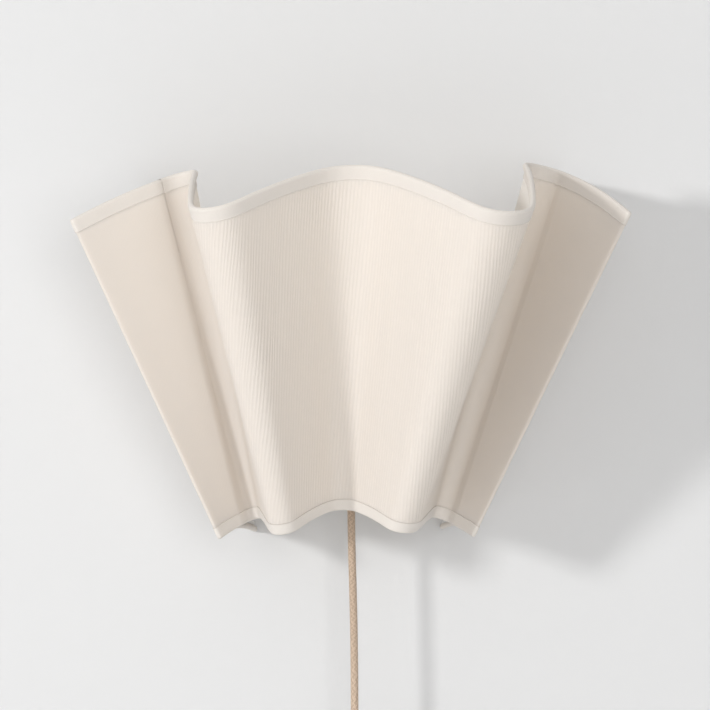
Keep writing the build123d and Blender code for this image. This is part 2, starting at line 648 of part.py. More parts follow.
with BuildPart() as switch_front:
    add(switch_half(HALF_DEEP))
    with BuildSketch(SWITCH_PLANE.offset(FACE_IN)):
        with Locations((EAR_MIDDLE, 0), (-EAR_MIDDLE, 0)):
            Rectangle(EAR, ROCKER_SWING)
    extrude(amount=-EAR_DROP)
    with BuildSketch(SWITCH_PLANE):
        Rectangle(WINDOW_WIDE, 2 * (ROCKER_SWING + ROCKER_GAP))
    extrude(amount=HALF_DEEP, mode=Mode.SUBTRACT)
    with BuildSketch(PIN_PLANE):
        Circle(ROCKER_PIN / 2 + PIN_PLAY)
    extrude(amount=EAR_MIDDLE + EAR / 2, both=True, mode=Mode.SUBTRACT)
    with BuildSketch(SWITCH_PLANE):
        with Locations(*SWITCH_SCREWS):
            Circle(SWITCH_SCREW / 2)
    extrude(amount=SWITCH_SCREW_IN, mode=Mode.SUBTRACT)

with BuildPart() as switch_back:
    add(switch_half(-HALF_DEEP))
    with BuildSketch(SWITCH_PLANE):
        with Locations(*SWITCH_SCREWS):
            Circle(SWITCH_SCREW / 2)
    extrude(amount=-HALF_DEEP, mode=Mode.SUBTRACT)
    with BuildSketch(SWITCH_PLANE.offset(-HALF_DEEP)):
        with Locations(*SWITCH_SCREWS):
            Circle(SWITCH_SCREW_HEAD / 2)
    extrude(amount=SWITCH_SCREW_HEAD_HIGH, mode=Mode.SUBTRACT)

with BuildPart() as switch_screws:
    with BuildSketch(SWITCH_PLANE.offset(SWITCH_SCREW_IN)):
        with Locations(*SWITCH_SCREWS):
            Circle(SWITCH_SCREW / 2)
    extrude(amount=-SWITCH_SCREW_IN - HALF_DEEP + SWITCH_SCREW_HEAD_HIGH)
    with BuildSketch(SWITCH_PLANE.offset(SWITCH_SCREW_HEAD_HIGH - HALF_DEEP)):
        with Locations(*SWITCH_SCREWS):
            Circle(SWITCH_SCREW_HEAD / 2 - CLEAR)
    extrude(amount=CLEAR - SWITCH_SCREW_HEAD_HIGH)

with BuildPart() as switch_terminals:
    with BuildSketch(SWITCH_PLANE.offset(SWITCH_WALL - HALF_DEEP)):
        with Locations((0, TERMINAL_BLOCK_SPACING / 2), (0, -TERMINAL_BLOCK_SPACING / 2)):
            Rectangle(2 * TERMINAL_BLOCK, TERMINAL_BLOCK)
    extrude(amount=TERMINAL_BLOCK_HIGH)

# The rocker rests tipped to one side. Its ends are arcs about the pin, so they clear the window.
TIPPED = Plane(PIN_CENTRE, x_dir=(0, -sin(radians(ROCKER_TILT)), cos(radians(ROCKER_TILT))), z_dir=(1, 0, 0))
TOP_OUT = sqrt(ROCKER_SWING ** 2 - ROCKER_TOP ** 2)
FOOT_OUT = sqrt(ROCKER_SWING ** 2 - ROCKER_FOOT ** 2)

with BuildPart() as rocker:
    with BuildSketch(TIPPED):
        with BuildLine():
            Polyline((-TOP_OUT, ROCKER_TOP), (0, ROCKER_DIP), (TOP_OUT, ROCKER_TOP))
            ThreePointArc((TOP_OUT, ROCKER_TOP), (ROCKER_SWING, 0), (FOOT_OUT, -ROCKER_FOOT))
            Line((FOOT_OUT, -ROCKER_FOOT), (-FOOT_OUT, -ROCKER_FOOT))
            ThreePointArc((-FOOT_OUT, -ROCKER_FOOT), (-ROCKER_SWING, 0), (-TOP_OUT, ROCKER_TOP))
        make_face()
        Circle(ROCKER_PIN / 2, mode=Mode.SUBTRACT)
    extrude(amount=ROCKER_WIDE / 2, both=True)

with BuildPart() as rocker_pin:
    with BuildSketch(PIN_PLANE):
        Circle(ROCKER_PIN / 2)
    extrude(amount=EAR_MIDDLE + EAR / 2, both=True)

# ---------------------------------------------------------------- spare length in a coil
STEP = CORD + COIL_GAP
COIL_TOP = SWITCH_TOP - Vector(0, 0, SWITCH_LONG + LINK_LONG)
COIL_INNER = COIL_MEAN - STEP * COIL_TURNS / 2
COIL_OUTER = COIL_INNER + STEP * COIL_TURNS
COIL_CENTRE = COIL_TOP + Vector(COIL_OUTER, 0, -CORD)
DOWN = Vector(0, 0, -1)

with BuildPart() as cord_link:
    with BuildSketch(Plane(COIL_TOP)):
        RegularPolygon(CORD / 2, CORD_SIDES)
    extrude(amount=LINK_LONG)


def coil_point(turn):
    """The coil's line: round and inwards, back half a turn at the middle, round and outwards."""
    angle = 2 * pi * turn
    radius = COIL_INNER + STEP * abs(turn - COIL_TURNS)
    climb = min(max(2 * (turn - COIL_TURNS) + 0.5, 0), 1)
    back = STEP * (1 - cos(pi * climb)) / 2
    return COIL_CENTRE + Vector(-radius * cos(angle), back, -radius * sin(angle))


def coil_heading(turn):
    """Unit tangent of the coil's line, straight down at its two ends."""
    if turn in (0, 2 * COIL_TURNS):
        return DOWN
    reach = 1 / 64
    return (coil_point(turn + reach) - coil_point(turn - reach)).normalized()


def biarc(start, leave, end, arrive):
    """Two arcs that join two points with the given headings and meet without a kink."""
    chord = end - start
    turn = leave + arrive
    slack = 2 * (1 - leave.dot(arrive))
    reach = (sqrt(chord.dot(turn) ** 2 + slack * chord.dot(chord)) - chord.dot(turn)) / slack
    first, second = start + leave * reach, end - arrive * reach
    middle = (first + second) / 2
    TangentArc(start, middle, tangent=leave)
    TangentArc(middle, end, tangent=(second - first).normalized())


def least_gap(line):
    """Least gap between the surfaces of a tube's turns, on points along its line."""
    count = 1200
    points = [line @ (i / count) for i in range(count + 1)]
    skip = int(count * 3 * CORD / line.length)
    near = min((points[i] - points[j]).length for i in range(0, count, 4) for j in range(i + skip, count, 3))
    return near - CORD


with BuildPart() as cord_coil:
    with BuildLine() as turns:
        Line(coil_point(0) - DOWN * CORD, coil_point(0))
        quarters = [quarter / 4 for quarter in range(8 * COIL_TURNS + 1)]
        for here, there in zip(quarters, quarters[1:]):
            biarc(coil_point(here), coil_heading(here), coil_point(there), coil_heading(there))
        Line(coil_point(2 * COIL_TURNS), coil_point(2 * COIL_TURNS) + DOWN * CORD)
    coil_line = turns.wire()
    with BuildSketch(Plane(coil_point(0) - DOWN * CORD, x_dir=(1, 0, 0), z_dir=DOWN)) as coil_section:
        RegularPolygon(CORD / 2, CORD_SIDES)
    sweep(path=coil_line)
share = cord_coil.part.volume / (coil_section.sketch.area * coil_line.length)
print(f"cord_coil: {coil_line.length:.1f} long, least gap {least_gap(coil_line):.2f}, volume share {share:.4f}")

with BuildPart() as coil_tie:
    across = COIL_OUTER - COIL_INNER + CORD + 2 * TIE_GAP
    deep = STEP + CORD + 2 * TIE_GAP
    with BuildSketch(Plane(COIL_CENTRE + Vector(-TIE_WIDE / 2, 0, 0), x_dir=(0, 1, 0), z_dir=(1, 0, 0))):
        with Locations((STEP / 2, -(COIL_INNER + COIL_OUTER) / 2)):
            RectangleRounded(deep + 2 * TIE_THICK, across + 2 * TIE_THICK, CORD / 2)
            RectangleRounded(deep, across, CORD / 4, mode=Mode.SUBTRACT)
    extrude(amount=TIE_WIDE)

TAIL_TOP = coil_point(2 * COIL_TURNS) + DOWN * CORD
TAIL_STEPS = [(0, 0), (0, 14), (1, 38), (1, TAIL_LONG)]
TAIL_ROUTE = [TAIL_TOP + Vector(-TAIL_BOW * share, 0, -drop) for share, drop in TAIL_STEPS]

with BuildPart() as cord_tail:
    add(lead_tube("cord_tail", TAIL_ROUTE))

# ---------------------------------------------------------------- plug
PLUG_TOP = TAIL_ROUTE[-1]
PLUG_SECTION = Plane(PLUG_TOP, x_dir=(1, 0, 0), z_dir=(0, -1, 0))
PLUG_LINE = Axis(PLUG_TOP, (0, 0, 1))
FACE_DROP = RELIEF_LONG + PLUG_LONG

with BuildPart() as plug_body:
    with BuildSketch(PLUG_SECTION):
        with BuildLine():
            Polyline((-PLUG_WIDE / 2, -FACE_DROP), (PLUG_WIDE / 2, -FACE_DROP),
                     (PLUG_WIDE / 2, -FACE_DROP + PLUG_SHOULDER), (PLUG_NECK / 2, -RELIEF_LONG),
                     (-PLUG_NECK / 2, -RELIEF_LONG), (-PLUG_WIDE / 2, -FACE_DROP + PLUG_SHOULDER), close=True)
        make_face()
    extrude(amount=PLUG_DEEP / 2, both=True)
    fillet(plug_body.edges().filter_by(Axis.Y), PLUG_SOFT)
    with BuildSketch(PLUG_SECTION):
        with BuildLine():
            Polyline((0, 0), (RELIEF_TOP / 2, 0), (RELIEF_FOOT / 2, -RELIEF_LONG),
                     (RELIEF_FOOT / 2, -RELIEF_LONG - PLUG_SOFT), (0, -RELIEF_LONG - PLUG_SOFT), close=True)
        make_face()
        with Locations(*[(CORD / 2 + RELIEF_SKIN + RELIEF_TOP, -RELIEF_LONG * (i + 1) / (RELIEF_GROOVES + 1))
                         for i in range(RELIEF_GROOVES)]):
            Rectangle(2 * RELIEF_TOP, RELIEF_GROOVE, mode=Mode.SUBTRACT)
    revolve(axis=PLUG_LINE)

with BuildPart() as plug_pins:
    with BuildSketch(Plane(PLUG_TOP - Vector(0, 0, FACE_DROP))):
        with Locations((PLUG_PIN_SPACING / 2, 0), (-PLUG_PIN_SPACING / 2, 0)):
            Circle(PLUG_PIN / 2)
    extrude(amount=-PLUG_PIN_LONG)
    chamfer(plug_pins.faces().group_by(Axis.Z)[0].edges(), PLUG_PIN / 4)

# ---------------------------------------------------------------- files
PIECES = {
    "shade_fabric": shade_fabric, "top_hem": top_hem, "bottom_hem": bottom_hem, "top_rim_wire": top_rim_wire,
    "spider": spider, "wall_plate": wall_plate, "bracket": bracket, "bracket_rivets": bracket_rivets,
    "holder_nipple": holder_nipple, "nipple_washer": nipple_washer,
    "nipple_nut": nipple_nut, "holder_cap": holder_cap, "holder_shell": holder_shell,
    "clamping_ring": clamping_ring, "holder_core": holder_core, "terminal_screws": terminal_screws,
    "screw_shell": screw_shell, "centre_contact": centre_contact, "lamp_cap": lamp_cap,
    "lamp_body": lamp_body, "lamp_globe": lamp_globe, "cord_grip": cord_grip, "cord_inlet": cord_inlet,
    "conductors": conductors, "cord_lead": cord_lead, "switch_front": switch_front,
    "switch_back": switch_back, "switch_screws": switch_screws, "switch_terminals": switch_terminals,
    "rocker": rocker, "rocker_pin": rocker_pin, "cord_link": cord_link, "cord_coil": cord_coil,
    "coil_tie": coil_tie, "cord_tail": cord_tail, "plug_body": plug_body, "plug_pins": plug_pins,
}
for name, piece in PIECES.items():
    piece.part.label = name
    export_step(piece.part, f"parts/{name}.step")
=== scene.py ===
"""Wall light with a waved cloth shade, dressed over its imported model.

Lengths in the functions are millimetres unless a name says otherwise; meshes are written in
metres. The wall is the plane Y = 0, the room lies towards -Y, Z is up.
"""

from math import cos, pi, radians, sin

import bmesh
import bpy
import numpy as np
from bpy.props import FloatProperty, FloatVectorProperty, IntProperty, PointerProperty
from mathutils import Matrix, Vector


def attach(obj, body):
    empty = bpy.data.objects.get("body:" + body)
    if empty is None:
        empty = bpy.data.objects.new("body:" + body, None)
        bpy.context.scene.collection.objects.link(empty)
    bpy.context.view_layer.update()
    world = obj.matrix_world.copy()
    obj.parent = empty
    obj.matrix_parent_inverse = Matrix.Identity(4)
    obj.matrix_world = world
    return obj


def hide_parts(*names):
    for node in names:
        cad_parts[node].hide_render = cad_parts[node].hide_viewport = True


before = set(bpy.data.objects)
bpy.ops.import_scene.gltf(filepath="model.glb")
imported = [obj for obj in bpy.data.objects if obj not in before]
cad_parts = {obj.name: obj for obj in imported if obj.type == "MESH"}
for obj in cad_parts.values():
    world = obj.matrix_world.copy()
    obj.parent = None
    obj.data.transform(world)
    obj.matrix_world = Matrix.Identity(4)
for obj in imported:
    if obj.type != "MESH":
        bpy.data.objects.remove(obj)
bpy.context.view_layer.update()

bl_info = {
    "name": "Waved shade wall light",
    "version": (1, 0, 0),
    "blender": (4, 5, 0),
    "location": "3D View > Sidebar > Wall Light",
    "description": "Builds a wall light with a waved cloth shade, its lampholder, lead, switch and plug",
    "category": "Add Mesh",
}

MM = 0.001

# The waves in plan: corners as shares of half width and of depth, None at the wall, and the rounding
# of each corner between the two ends.
UPPER_WAVE = [(-0.750, None), (-1.022, 0.440), (-0.640, 0.352), (-0.506, 0.204), (-0.573, 0.871),
              (0.016, 0.566), (0.687, 1.003), (0.565, 0.202), (0.728, 0.345), (1.018, 0.569),
              (0.732, None)]
LOWER_WAVE = [(-0.770, None), (-1.044, 0.674), (-0.838, 0.518), (-0.711, 0.374), (-0.554, 1.003),
              (-0.083, 0.488), (0.392, 0.988), (0.627, 0.388), (0.755, 0.526), (0.951, 0.641),
              (0.721, None)]
UPPER_ROUNDING = [3.0, 24.0, 16.0, 26.0, 40.0, 32.0, 17.0, 40.0, 2.5]
LOWER_ROUNDING = [2.0, 16.0, 5.0, 11.5, 10.0, 13.0, 7.0, 17.0, 1.8]
UPPER_SIZE = (504.0, 392.0)    # width and depth that the shares are of
LOWER_SIZE = (204.0, 170.0)
WALL_GAP = 1.5                 # the shade's ends stand this far off the wall
PLAN_MARGIN = 9.0              # plan levels beyond the rims
SIDE_DIP = (5.0, 6.0)          # dip of the top rim along the left and right sides, by the wall
TIP_DIP = 4.0                  # dip of the top rim at the right fold's tip
WALL_DIP = (5.0, 3.0)          # dip of the bottom rim at the wall, left and right
APEX = np.array([-2.5, -62.5, -308.0])     # centre of the bottom rim's sphere and of the flat cloth
TOP_CENTRE = APEX + np.array([20.0, 0.0, 0.0])
TOP_RIM_RADIUS = 556.0
BOTTOM_RIM_RADIUS = 257.5

WIRE = (1.5, -1.85)            # centre of the rim wire: in from the rim, and out of the cloth's face
WIRE_WIDE = 2.4
FOLD_RADIUS = 2.35             # outside of a tape's fold about the wire
LEG_LEVEL = -1.4               # where a tape's inner leg comes to rest, out of the cloth's face
LEG_REACH = 1.6                # the inner leg is there by one part in this of its width

HOLDER = (0.0, -60.0)
LAMP_TOP = 153.7
GLOBE_WIDE = 60.0
GLOBE_NECK = 48.0
GLOBE_TALL = 62.0
EXIT_LEVEL = -44.4             # where the lead leaves the lampholder
LEAD_LONG = 196.0
LEAD_BOW = 2.6                 # sideways, from the holder to the switch
SWITCH_LONG = 62.0
LINK_LONG = 36.0
TAIL_LONG = 52.0
TAIL_BOW = 1.6
COIL_MEAN = 37.5               # mean radius of the turns
COIL_GAP = 0.7                 # free space between turns
COIL_TURNS = 3                 # turns inwards, and as many outwards again
STRAND_STEP = 1.4              # length of lead to each strand of the braid
STRANDS = 12.0                 # strands round the lead

# The stage, in metres.
FAR = 6.0
WALL_LEVEL = 0.0006
FLOOR_LEVEL = -1.1
KEY_AT, KEY_AIM, KEY_SIZE = (-3.5, -3.5, 0.80), (0.0, -0.12, 0.08), 0.5
FILL_AT, FILL_AIM, FILL_SIZE = (0.7, -4.6, 0.3), (0.0, -0.12, 0.05), 2.0
SEEN_ROOM = 0.86               # strength of the room where the camera sees it past the wall
CAMERA_AT = (0.0034, -3.811, 0.0727)
CAMERA_ROLL = 0.1              # degrees
FOCAL_PIXELS = 4500            # focal length in pixels of the photograph
PHOTO_WIDE = 710
SENSOR = 36


# ------------------------------------------------------------------------------- sizes and colours
def colour(name, value, about):
    """A colour that the user may change."""
    return FloatVectorProperty(name=name, subtype="COLOR", size=3, min=0, max=1, default=value, description=about)


def length(name, value, about):
    """A length that the user may change, given in millimetres."""
    return FloatProperty(name=name, unit="LENGTH", default=value * MM, min=0, precision=4, description=about)


class ShadeSizes(bpy.types.PropertyGroup):
    """Sizes and colours of the shade."""

    sheet: length("Sheet", 1.0, "Thickness of the cloth and the film behind it")
    tape: length("Tape", 0.5, "Thickness of the hem tape")
    top_tape: length("Top tape", 11.0, "Width of the tape down from the top rim")
    bottom_tape: length("Bottom tape", 10.0, "Width of the tape up from the bottom rim")
    rib: length("Rib", 2.9, "Distance between the ribs of the cloth")
    cloth: colour("Cloth", (0.905, 0.872, 0.838), "Ribbed cloth of the shade")
    film: colour("Film", (0.94, 0.925, 0.90), "Film that backs the cloth")
    tape_colour: colour("Tape colour", (0.76, 0.71, 0.655), "Tape over the rims")


class CordSizes(bpy.types.PropertyGroup):
    """Sizes and colours of the lead."""

    diameter: length("Diameter", 6.4, "Outside of the braided lead")
    points: IntProperty(name="Points", default=20, min=12, description="Points of the line in each turn of the coil")
    yarn: colour("Yarn", (0.72, 0.55, 0.41), "Main yarn of the braid")
    dark_yarn: colour("Dark yarn", (0.44, 0.31, 0.21), "Second yarn of the braid")


class FittingColours(bpy.types.PropertyGroup):
    """Colours of the metal, plastic and glass pieces."""

    plastic: colour("Plastic", (0.74, 0.73, 0.70), "Lampholder, switch and plug")
    paint: colour("Paint", (0.82, 0.81, 0.79), "Powder coat of the plate, bracket and wires")
    steel: colour("Steel", (0.62, 0.62, 0.61), "Zinc-plated screws and nuts")
    brass: colour("Brass", (0.72, 0.53, 0.27), "Contacts and nipple")
    ceramic: colour("Ceramic", (0.86, 0.84, 0.80), "Core of the lampholder")
    glass: colour("Glass", (0.93, 0.92, 0.89), "Frosted globe of the lamp")


class StageSettings(bpy.types.PropertyGroup):
    """Backdrop and light."""

    key: FloatProperty(name="Key lamp", default=102.0, min=0, unit="POWER", description="Lamp from the left")
    fill: FloatProperty(name="Fill lamp", default=56.0, min=0, unit="POWER", description="Wide lamp from the front")
    sky: FloatProperty(name="Room light", default=0.46, min=0, description="Even light from all round")
    wall: colour("Wall", (0.725, 0.725, 0.725), "Plain wall and floor")


# ------------------------------------------------------------------------------- meshes
def mesh_object(name, points, faces, uv=None):
    """A new object from an array of points in millimetres and an array of four-cornered faces."""
    mesh = bpy.data.meshes.new(name)
    mesh.vertices.add(len(points))
    mesh.vertices.foreach_set("co", (points * MM).astype(np.float32).ravel())
    mesh.loops.add(faces.size)
    mesh.loops.foreach_set("vertex_index", faces.ravel().astype(np.int32))
    mesh.polygons.add(len(faces))
    mesh.polygons.foreach_set("loop_start", (np.arange(len(faces)) * faces.shape[1]).astype(np.int32))
    mesh.polygons.foreach_set("use_smooth", np.ones(len(faces), bool))
    if uv is not None:
        layer = mesh.uv_layers.new(name="flat")
        layer.data.foreach_set("uv", uv.reshape(-1, 2).astype(np.float32).ravel())
    mesh.update(calc_edges=True)
    mesh.validate()
    piece = bpy.data.objects.new(name, mesh)
    bpy.context.scene.collection.objects.link(piece)
    return piece


def grid_quads(index):
    """The quads between neighbours of a grid of point numbers."""
    return np.stack([index[:-1, :-1], index[1:, :-1], index[1:, 1:], index[:-1, 1:]], -1).reshape(-1, 4)


def outward(points, faces):
    """The faces turned, if need be, so that the closed shape they bound has a positive volume."""
    corners = points[faces]
    volume = np.einsum("ij,ij->i", np.cross(corners[:, 0] - points[0], corners[:, 1] - points[0]),
                       corners[:, 2] - points[0]).sum()
    volume += np.einsum("ij,ij->i", np.cross(corners[:, 0] - points[0], corners[:, 2] - points[0]),
                        corners[:, 3] - points[0]).sum()
    return faces if volume > 0 else faces[:, ::-1]


def slab(name, outer, inner, uv):
    """A closed sheet: two grids of points, one for each side, and walls between them round all four edges."""
    rows, columns = outer.shape[:2]
    count = rows * columns
    index = np.arange(count).reshape(rows, columns)
    faces = grid_quads(index)
    ring = np.concatenate([index[:, 0], index[-1, 1:], index[-2::-1, -1], index[0, -2:0:-1]])
    after = np.roll(ring, -1)
    walls = np.stack([ring, ring + count, after + count, after], -1)
    points = np.concatenate([outer.reshape(-1, 3), inner.reshape(-1, 3)])
    quads = np.concatenate([faces, faces[:, ::-1] + count, walls[:, ::-1]])
    turned = outward(points, quads)
    flat = np.concatenate([uv.reshape(-1, 2), uv.reshape(-1, 2)])
    return mesh_object(name, points, turned, flat[turned])


def distance_along(line):
    """Distance from the first point of a line of points to each of them."""
    return np.concatenate([[0], np.cumsum(np.linalg.norm(np.diff(line, axis=0), axis=1))])


def flat_grid(first, second):
    """A flat map, in metres, whose two coordinates are the distances given for rows and columns."""
    return np.stack(np.broadcast_arrays(first[:, None], second[None, :]), -1) * MM


def lathe(name, profile, axis, steps=96):
    """A turned piece: each (radius, height) point of a pole-to-pole profile goes round the axis.

    Point (i, j) is axis + radius_j * (cos a_i, sin a_i), height_j, with a_i the i-th share of a full turn.
    """
    profile = np.asarray(profile, float)
    angle = np.arange(steps) * 2 * pi / steps
    radius, height = profile[:, 0], profile[:, 1]
    grid = np.stack([axis[0] + np.outer(np.cos(angle), radius), axis[1] + np.outer(np.sin(angle), radius),
                     np.broadcast_to(height, (steps, len(profile)))], -1)
    points = grid.reshape(-1, 3)
    flat = np.arange((steps + 1) * len(profile)).reshape(steps + 1, len(profile))
    faces = grid_quads(flat % len(points))
    turn = np.arange(steps + 1) * 2 * pi / steps * radius.max()
    uv = flat_grid(turn, distance_along(profile)).reshape(-1, 2)[grid_quads(flat)]
    turned = outward(points, faces)
    piece = mesh_object(name, points, turned, uv if turned is faces else uv[:, ::-1])
    weld(piece)
    return piece


def weld(piece):
    """Merges the points that lie on each other, as at the poles of a turned piece."""
    work = bmesh.new()
    work.from_mesh(piece.data)
    bmesh.ops.remove_doubles(work, verts=work.verts, dist=1e-6)
    bmesh.ops.dissolve_degenerate(work, edges=work.edges, dist=1e-6)
    work.to_mesh(piece.data)
    work.free()


def arc(centre, radius, first, last, steps=8):
    """Points of an arc in a profile, angles in degrees."""
    angle = np.radians(np.linspace(first, last, steps + 1))
    return [(centre[0] + radius * c, centre[1] + radius * s) for c, s in zip(np.cos(angle), np.sin(angle))]


# ------------------------------------------------------------------------------- materials
class Nodes:
    """Shorthand for adding nodes to a tree and linking them."""

    def __init__(self, tree):
        self.tree = tree

    def add(self, kind, **settings):
        node = self.tree.nodes.new(kind)
        for key, value in settings.items():
            if key.startswith("in_"):
                node.inputs[int(key[3:])].default_value = value
            else:
                setattr(node, key, value)
        return node

    def link(self, out, into):
        self.tree.links.new(out, into)

    def feed(self, value, socket):
        """Sets a number or a colour on a socket, or links an output to it."""
        if isinstance(value, (int, float)):
            socket.default_value = value
        elif isinstance(value, (tuple, list)):
            socket.default_value = tuple(value[:3]) + (1.0,)
        else:
            self.link(value, socket)

    def math(self, operation, *values):
        node = self.add("ShaderNodeMath", operation=operation)
        for value, socket in zip(values, node.inputs):
            self.feed(value, socket)
        return node.outputs[0]

    def mix(self, factor, a, b):
        """A mix of two colours."""
        node = self.add("ShaderNodeMix", data_type="RGBA")
        for slot, value in ((0, factor), (6, a), (7, b)):
            self.feed(value, node.inputs[slot])
        return node.outputs[2]

    def noise(self, vector, scale, detail=2.0, rough=0.5):
        node = self.add("ShaderNodeTexNoise")
        self.feed(scale, node.inputs["Scale"])
        self.feed(detail, node.inputs["Detail"])
        self.feed(rough, node.inputs["Roughness"])
        self.link(vector, node.inputs["Vector"])
        return node.outputs["Fac"]

    def parts(self, vector):
        """The three numbers of a vector."""
        node = self.add("ShaderNodeSeparateXYZ")
        self.link(vector, node.inputs[0])
        return node.outputs

    def stretched(self, x, y, across, along):
        """A point of a noise that changes across times along x, and along times along y."""
        node = self.add("ShaderNodeCombineXYZ")
        self.link(self.math("MULTIPLY", x, across), node.inputs[0])
        self.link(self.math("MULTIPLY", y, along), node.inputs[1])
        return node.outputs[0]


def new_group(name, inputs, outputs):
    """A node group with named inputs and outputs, and its two end nodes.

    An input is a number with that value, or a vector where it has none; an output is a number.
    """
    group = bpy.data.node_groups.new(name, "ShaderNodeTree")
    for label, value in inputs.items():
        kind = "NodeSocketVector" if value is None else "NodeSocketFloat"
        socket = group.interface.new_socket(name=label, in_out="INPUT", socket_type=kind)
        if value is not None:
            socket.default_value = value
    for label in outputs:
        group.interface.new_socket(name=label, in_out="OUTPUT", socket_type="NodeSocketFloat")
    nodes = Nodes(group)
    return group, nodes, nodes.add("NodeGroupInput"), nodes.add("NodeGroupOutput")


def ribbed_cloth_group():
    """Ribs along the flat cloth's second axis, crossed by a fine plain weave with slubs.

    Rib height is a rounded cosine of x / pitch + drift, where drift is a slow noise stretched
    along the rib. The same noise and a finer one make it uneven along its length, and it fades
    with the swing, the angle to the cloth's middle. The weave is the product of two finer
    waves; slubs are long thin noise.
    """
    group, n, start, end = new_group(
        "Ribbed cloth", {"Vector": None, "Pitch": 0.0029, "Rib depth": 1.0, "Yarn pitch": 0.0006},
        ("Height", "Rib", "Slub"))
    x, y, _ = n.parts(start.outputs["Vector"])
    slow = n.stretched(x, y, 90.0, 9.0)
    drift = n.noise(slow, 1.0, 3.0)
    phase = n.math("ADD", n.math("DIVIDE", x, start.outputs["Pitch"]), n.math("MULTIPLY", drift, 1.5))
    wave = n.math("COSINE", n.math("MULTIPLY", phase, 2 * pi))
    rib = n.math("POWER", n.math("MULTIPLY_ADD", wave, 0.5, 0.5), 0.8)
    fade = n.noise(slow, 0.35, 1.0)
    broken = n.noise(n.stretched(x, y, 350.0, 190.0), 1.0, 2.0)
    swing = n.math("ARCTAN2", n.math("ABSOLUTE", x), y)
    middle = n.add("ShaderNodeMapRange", interpolation_type="SMOOTHSTEP", in_1=0.34, in_2=0.58, in_3=1.0, in_4=0.1)
    n.link(swing, middle.inputs[0])
    uneven = n.math("MULTIPLY", n.math("MULTIPLY_ADD", fade, 1.1, 0.25), n.math("MULTIPLY_ADD", broken, 1.8, 0.15))
    rib_scaled = n.math("MULTIPLY", n.math("MULTIPLY", rib, uneven), middle.outputs[0])
    over = [n.math("SINE", n.math("DIVIDE", n.math("MULTIPLY", way, 2 * pi), start.outputs["Yarn pitch"]))
            for way in (x, y)]
    weave = n.math("MULTIPLY_ADD", n.math("MULTIPLY", *over), 0.5, 0.5)
    slub = n.noise(n.stretched(x, y, 900.0, 60.0), 1.0, 2.0, 0.6)
    height = n.math("ADD", n.math("MULTIPLY", rib_scaled, start.outputs["Rib depth"]),
                    n.math("ADD", n.math("MULTIPLY", weave, 0.16), n.math("MULTIPLY", slub, 0.22)))
    n.link(height, end.inputs["Height"])
    n.link(rib_scaled, end.inputs["Rib"])
    n.link(slub, end.inputs["Slub"])
    return group


def plain_weave_group():
    """A plain weave: over and under in turn along both axes, its yarns a little uneven."""
    group, n, start, end = new_group("Plain weave", {"Vector": None, "Pitch": 0.0007}, ("Height", "Uneven"))
    x, y, _ = n.parts(start.outputs["Vector"])
    over = [n.math("SINE", n.math("DIVIDE", n.math("MULTIPLY", way, pi), start.outputs["Pitch"])) for way in (x, y)]
    uneven = n.noise(start.outputs["Vector"], 700.0, 3.0, 0.6)
    height = n.math("ADD", n.math("MULTIPLY_ADD", n.math("MULTIPLY", *over), 0.5, 0.5),
                    n.math("MULTIPLY", uneven, 0.5))
    n.link(height, end.inputs["Height"])
    n.link(uneven, end.inputs["Uneven"])
    return group


def braid_group():
    """A braided sleeve: two sets of strands wound opposite ways; the one on top shows.

    With a along the lead and r round it, the strands are waves of a + r and a - r, and a
    slower wave of both says which set lies on top.
    """
    group, n, start, end = new_group("Braid", {"Vector": None, "Along": 400.0, "Round": 8.0},
                                     ("Height", "Strand", "Fuzz"))
    along, around, _ = n.parts(start.outputs["Vector"])
    a = n.math("MULTIPLY", along, start.outputs["Along"])
    r = n.math("MULTIPLY", around, start.outputs["Round"])
    left, right = n.math("ADD", a, r), n.math("SUBTRACT", a, r)
    left_wave, right_wave = [n.math("ABSOLUTE", n.math("SINE", n.math("MULTIPLY", way, pi))) for way in (left, right)]
    left_count, right_count = n.math("FLOOR", left), n.math("FLOOR", right)
    crossing = n.math("SINE", n.math("MULTIPLY", n.math("ADD", left_count, right_count), pi / 2))
    over = n.math("GREATER_THAN", crossing, 0.0)
    under = n.math("SUBTRACT", 1.0, over)
    height = n.math("ADD", n.math("MULTIPLY", left_wave, over), n.math("MULTIPLY", right_wave, under))
    n.link(height, end.inputs["Height"])
    pick = n.math("ADD", n.math("MULTIPLY", left_count, over), n.math("MULTIPLY", right_count, under))
    n.link(n.math("FRACT", n.math("MULTIPLY", pick, 0.381)), end.inputs["Strand"])
    n.link(n.noise(start.outputs["Vector"], 3000.0, 2.0, 0.7), end.inputs["Fuzz"])
    return group


def grain_group():
    """Fine moulded or sprayed grain in object space, with a slow mottle for small changes of gloss."""
    group, n, start, end = new_group("Grain", {"Scale": 1500.0}, ("Height", "Mottle"))
    where = n.add("ShaderNodeTexCoord")
    n.link(n.noise(where.outputs["Object"], start.outputs["Scale"]), end.inputs["Height"])
    n.link(n.noise(where.outputs["Object"], 45.0, 3.0), end.inputs["Mottle"])
    return group


GROUPS = {}


def shared(name):
    """A shared node group, built the first time it is asked for."""
    makers = {"Ribbed cloth": ribbed_cloth_group, "Plain weave": plain_weave_group, "Braid": braid_group,
              "Grain": grain_group}
    if name not in GROUPS:
        GROUPS[name] = makers[name]()
    return GROUPS[name]


def new_material(name):
    """A material with an empty surface: its node helper and its Principled node."""
    material = bpy.data.materials.new(name)
    material.use_nodes = True
    n = Nodes(material.node_tree)
    surface = next(node for node in material.node_tree.nodes if node.type == "BSDF_PRINCIPLED")
    return material, n, surface


def place(n, name, **values):
    """A shared group placed in a material with its own values."""
    node = n.add("ShaderNodeGroup", node_tree=shared(name))
    for key, value in values.items():
        node.inputs[key.replace("_", " ").capitalize()].default_value = value
    return node


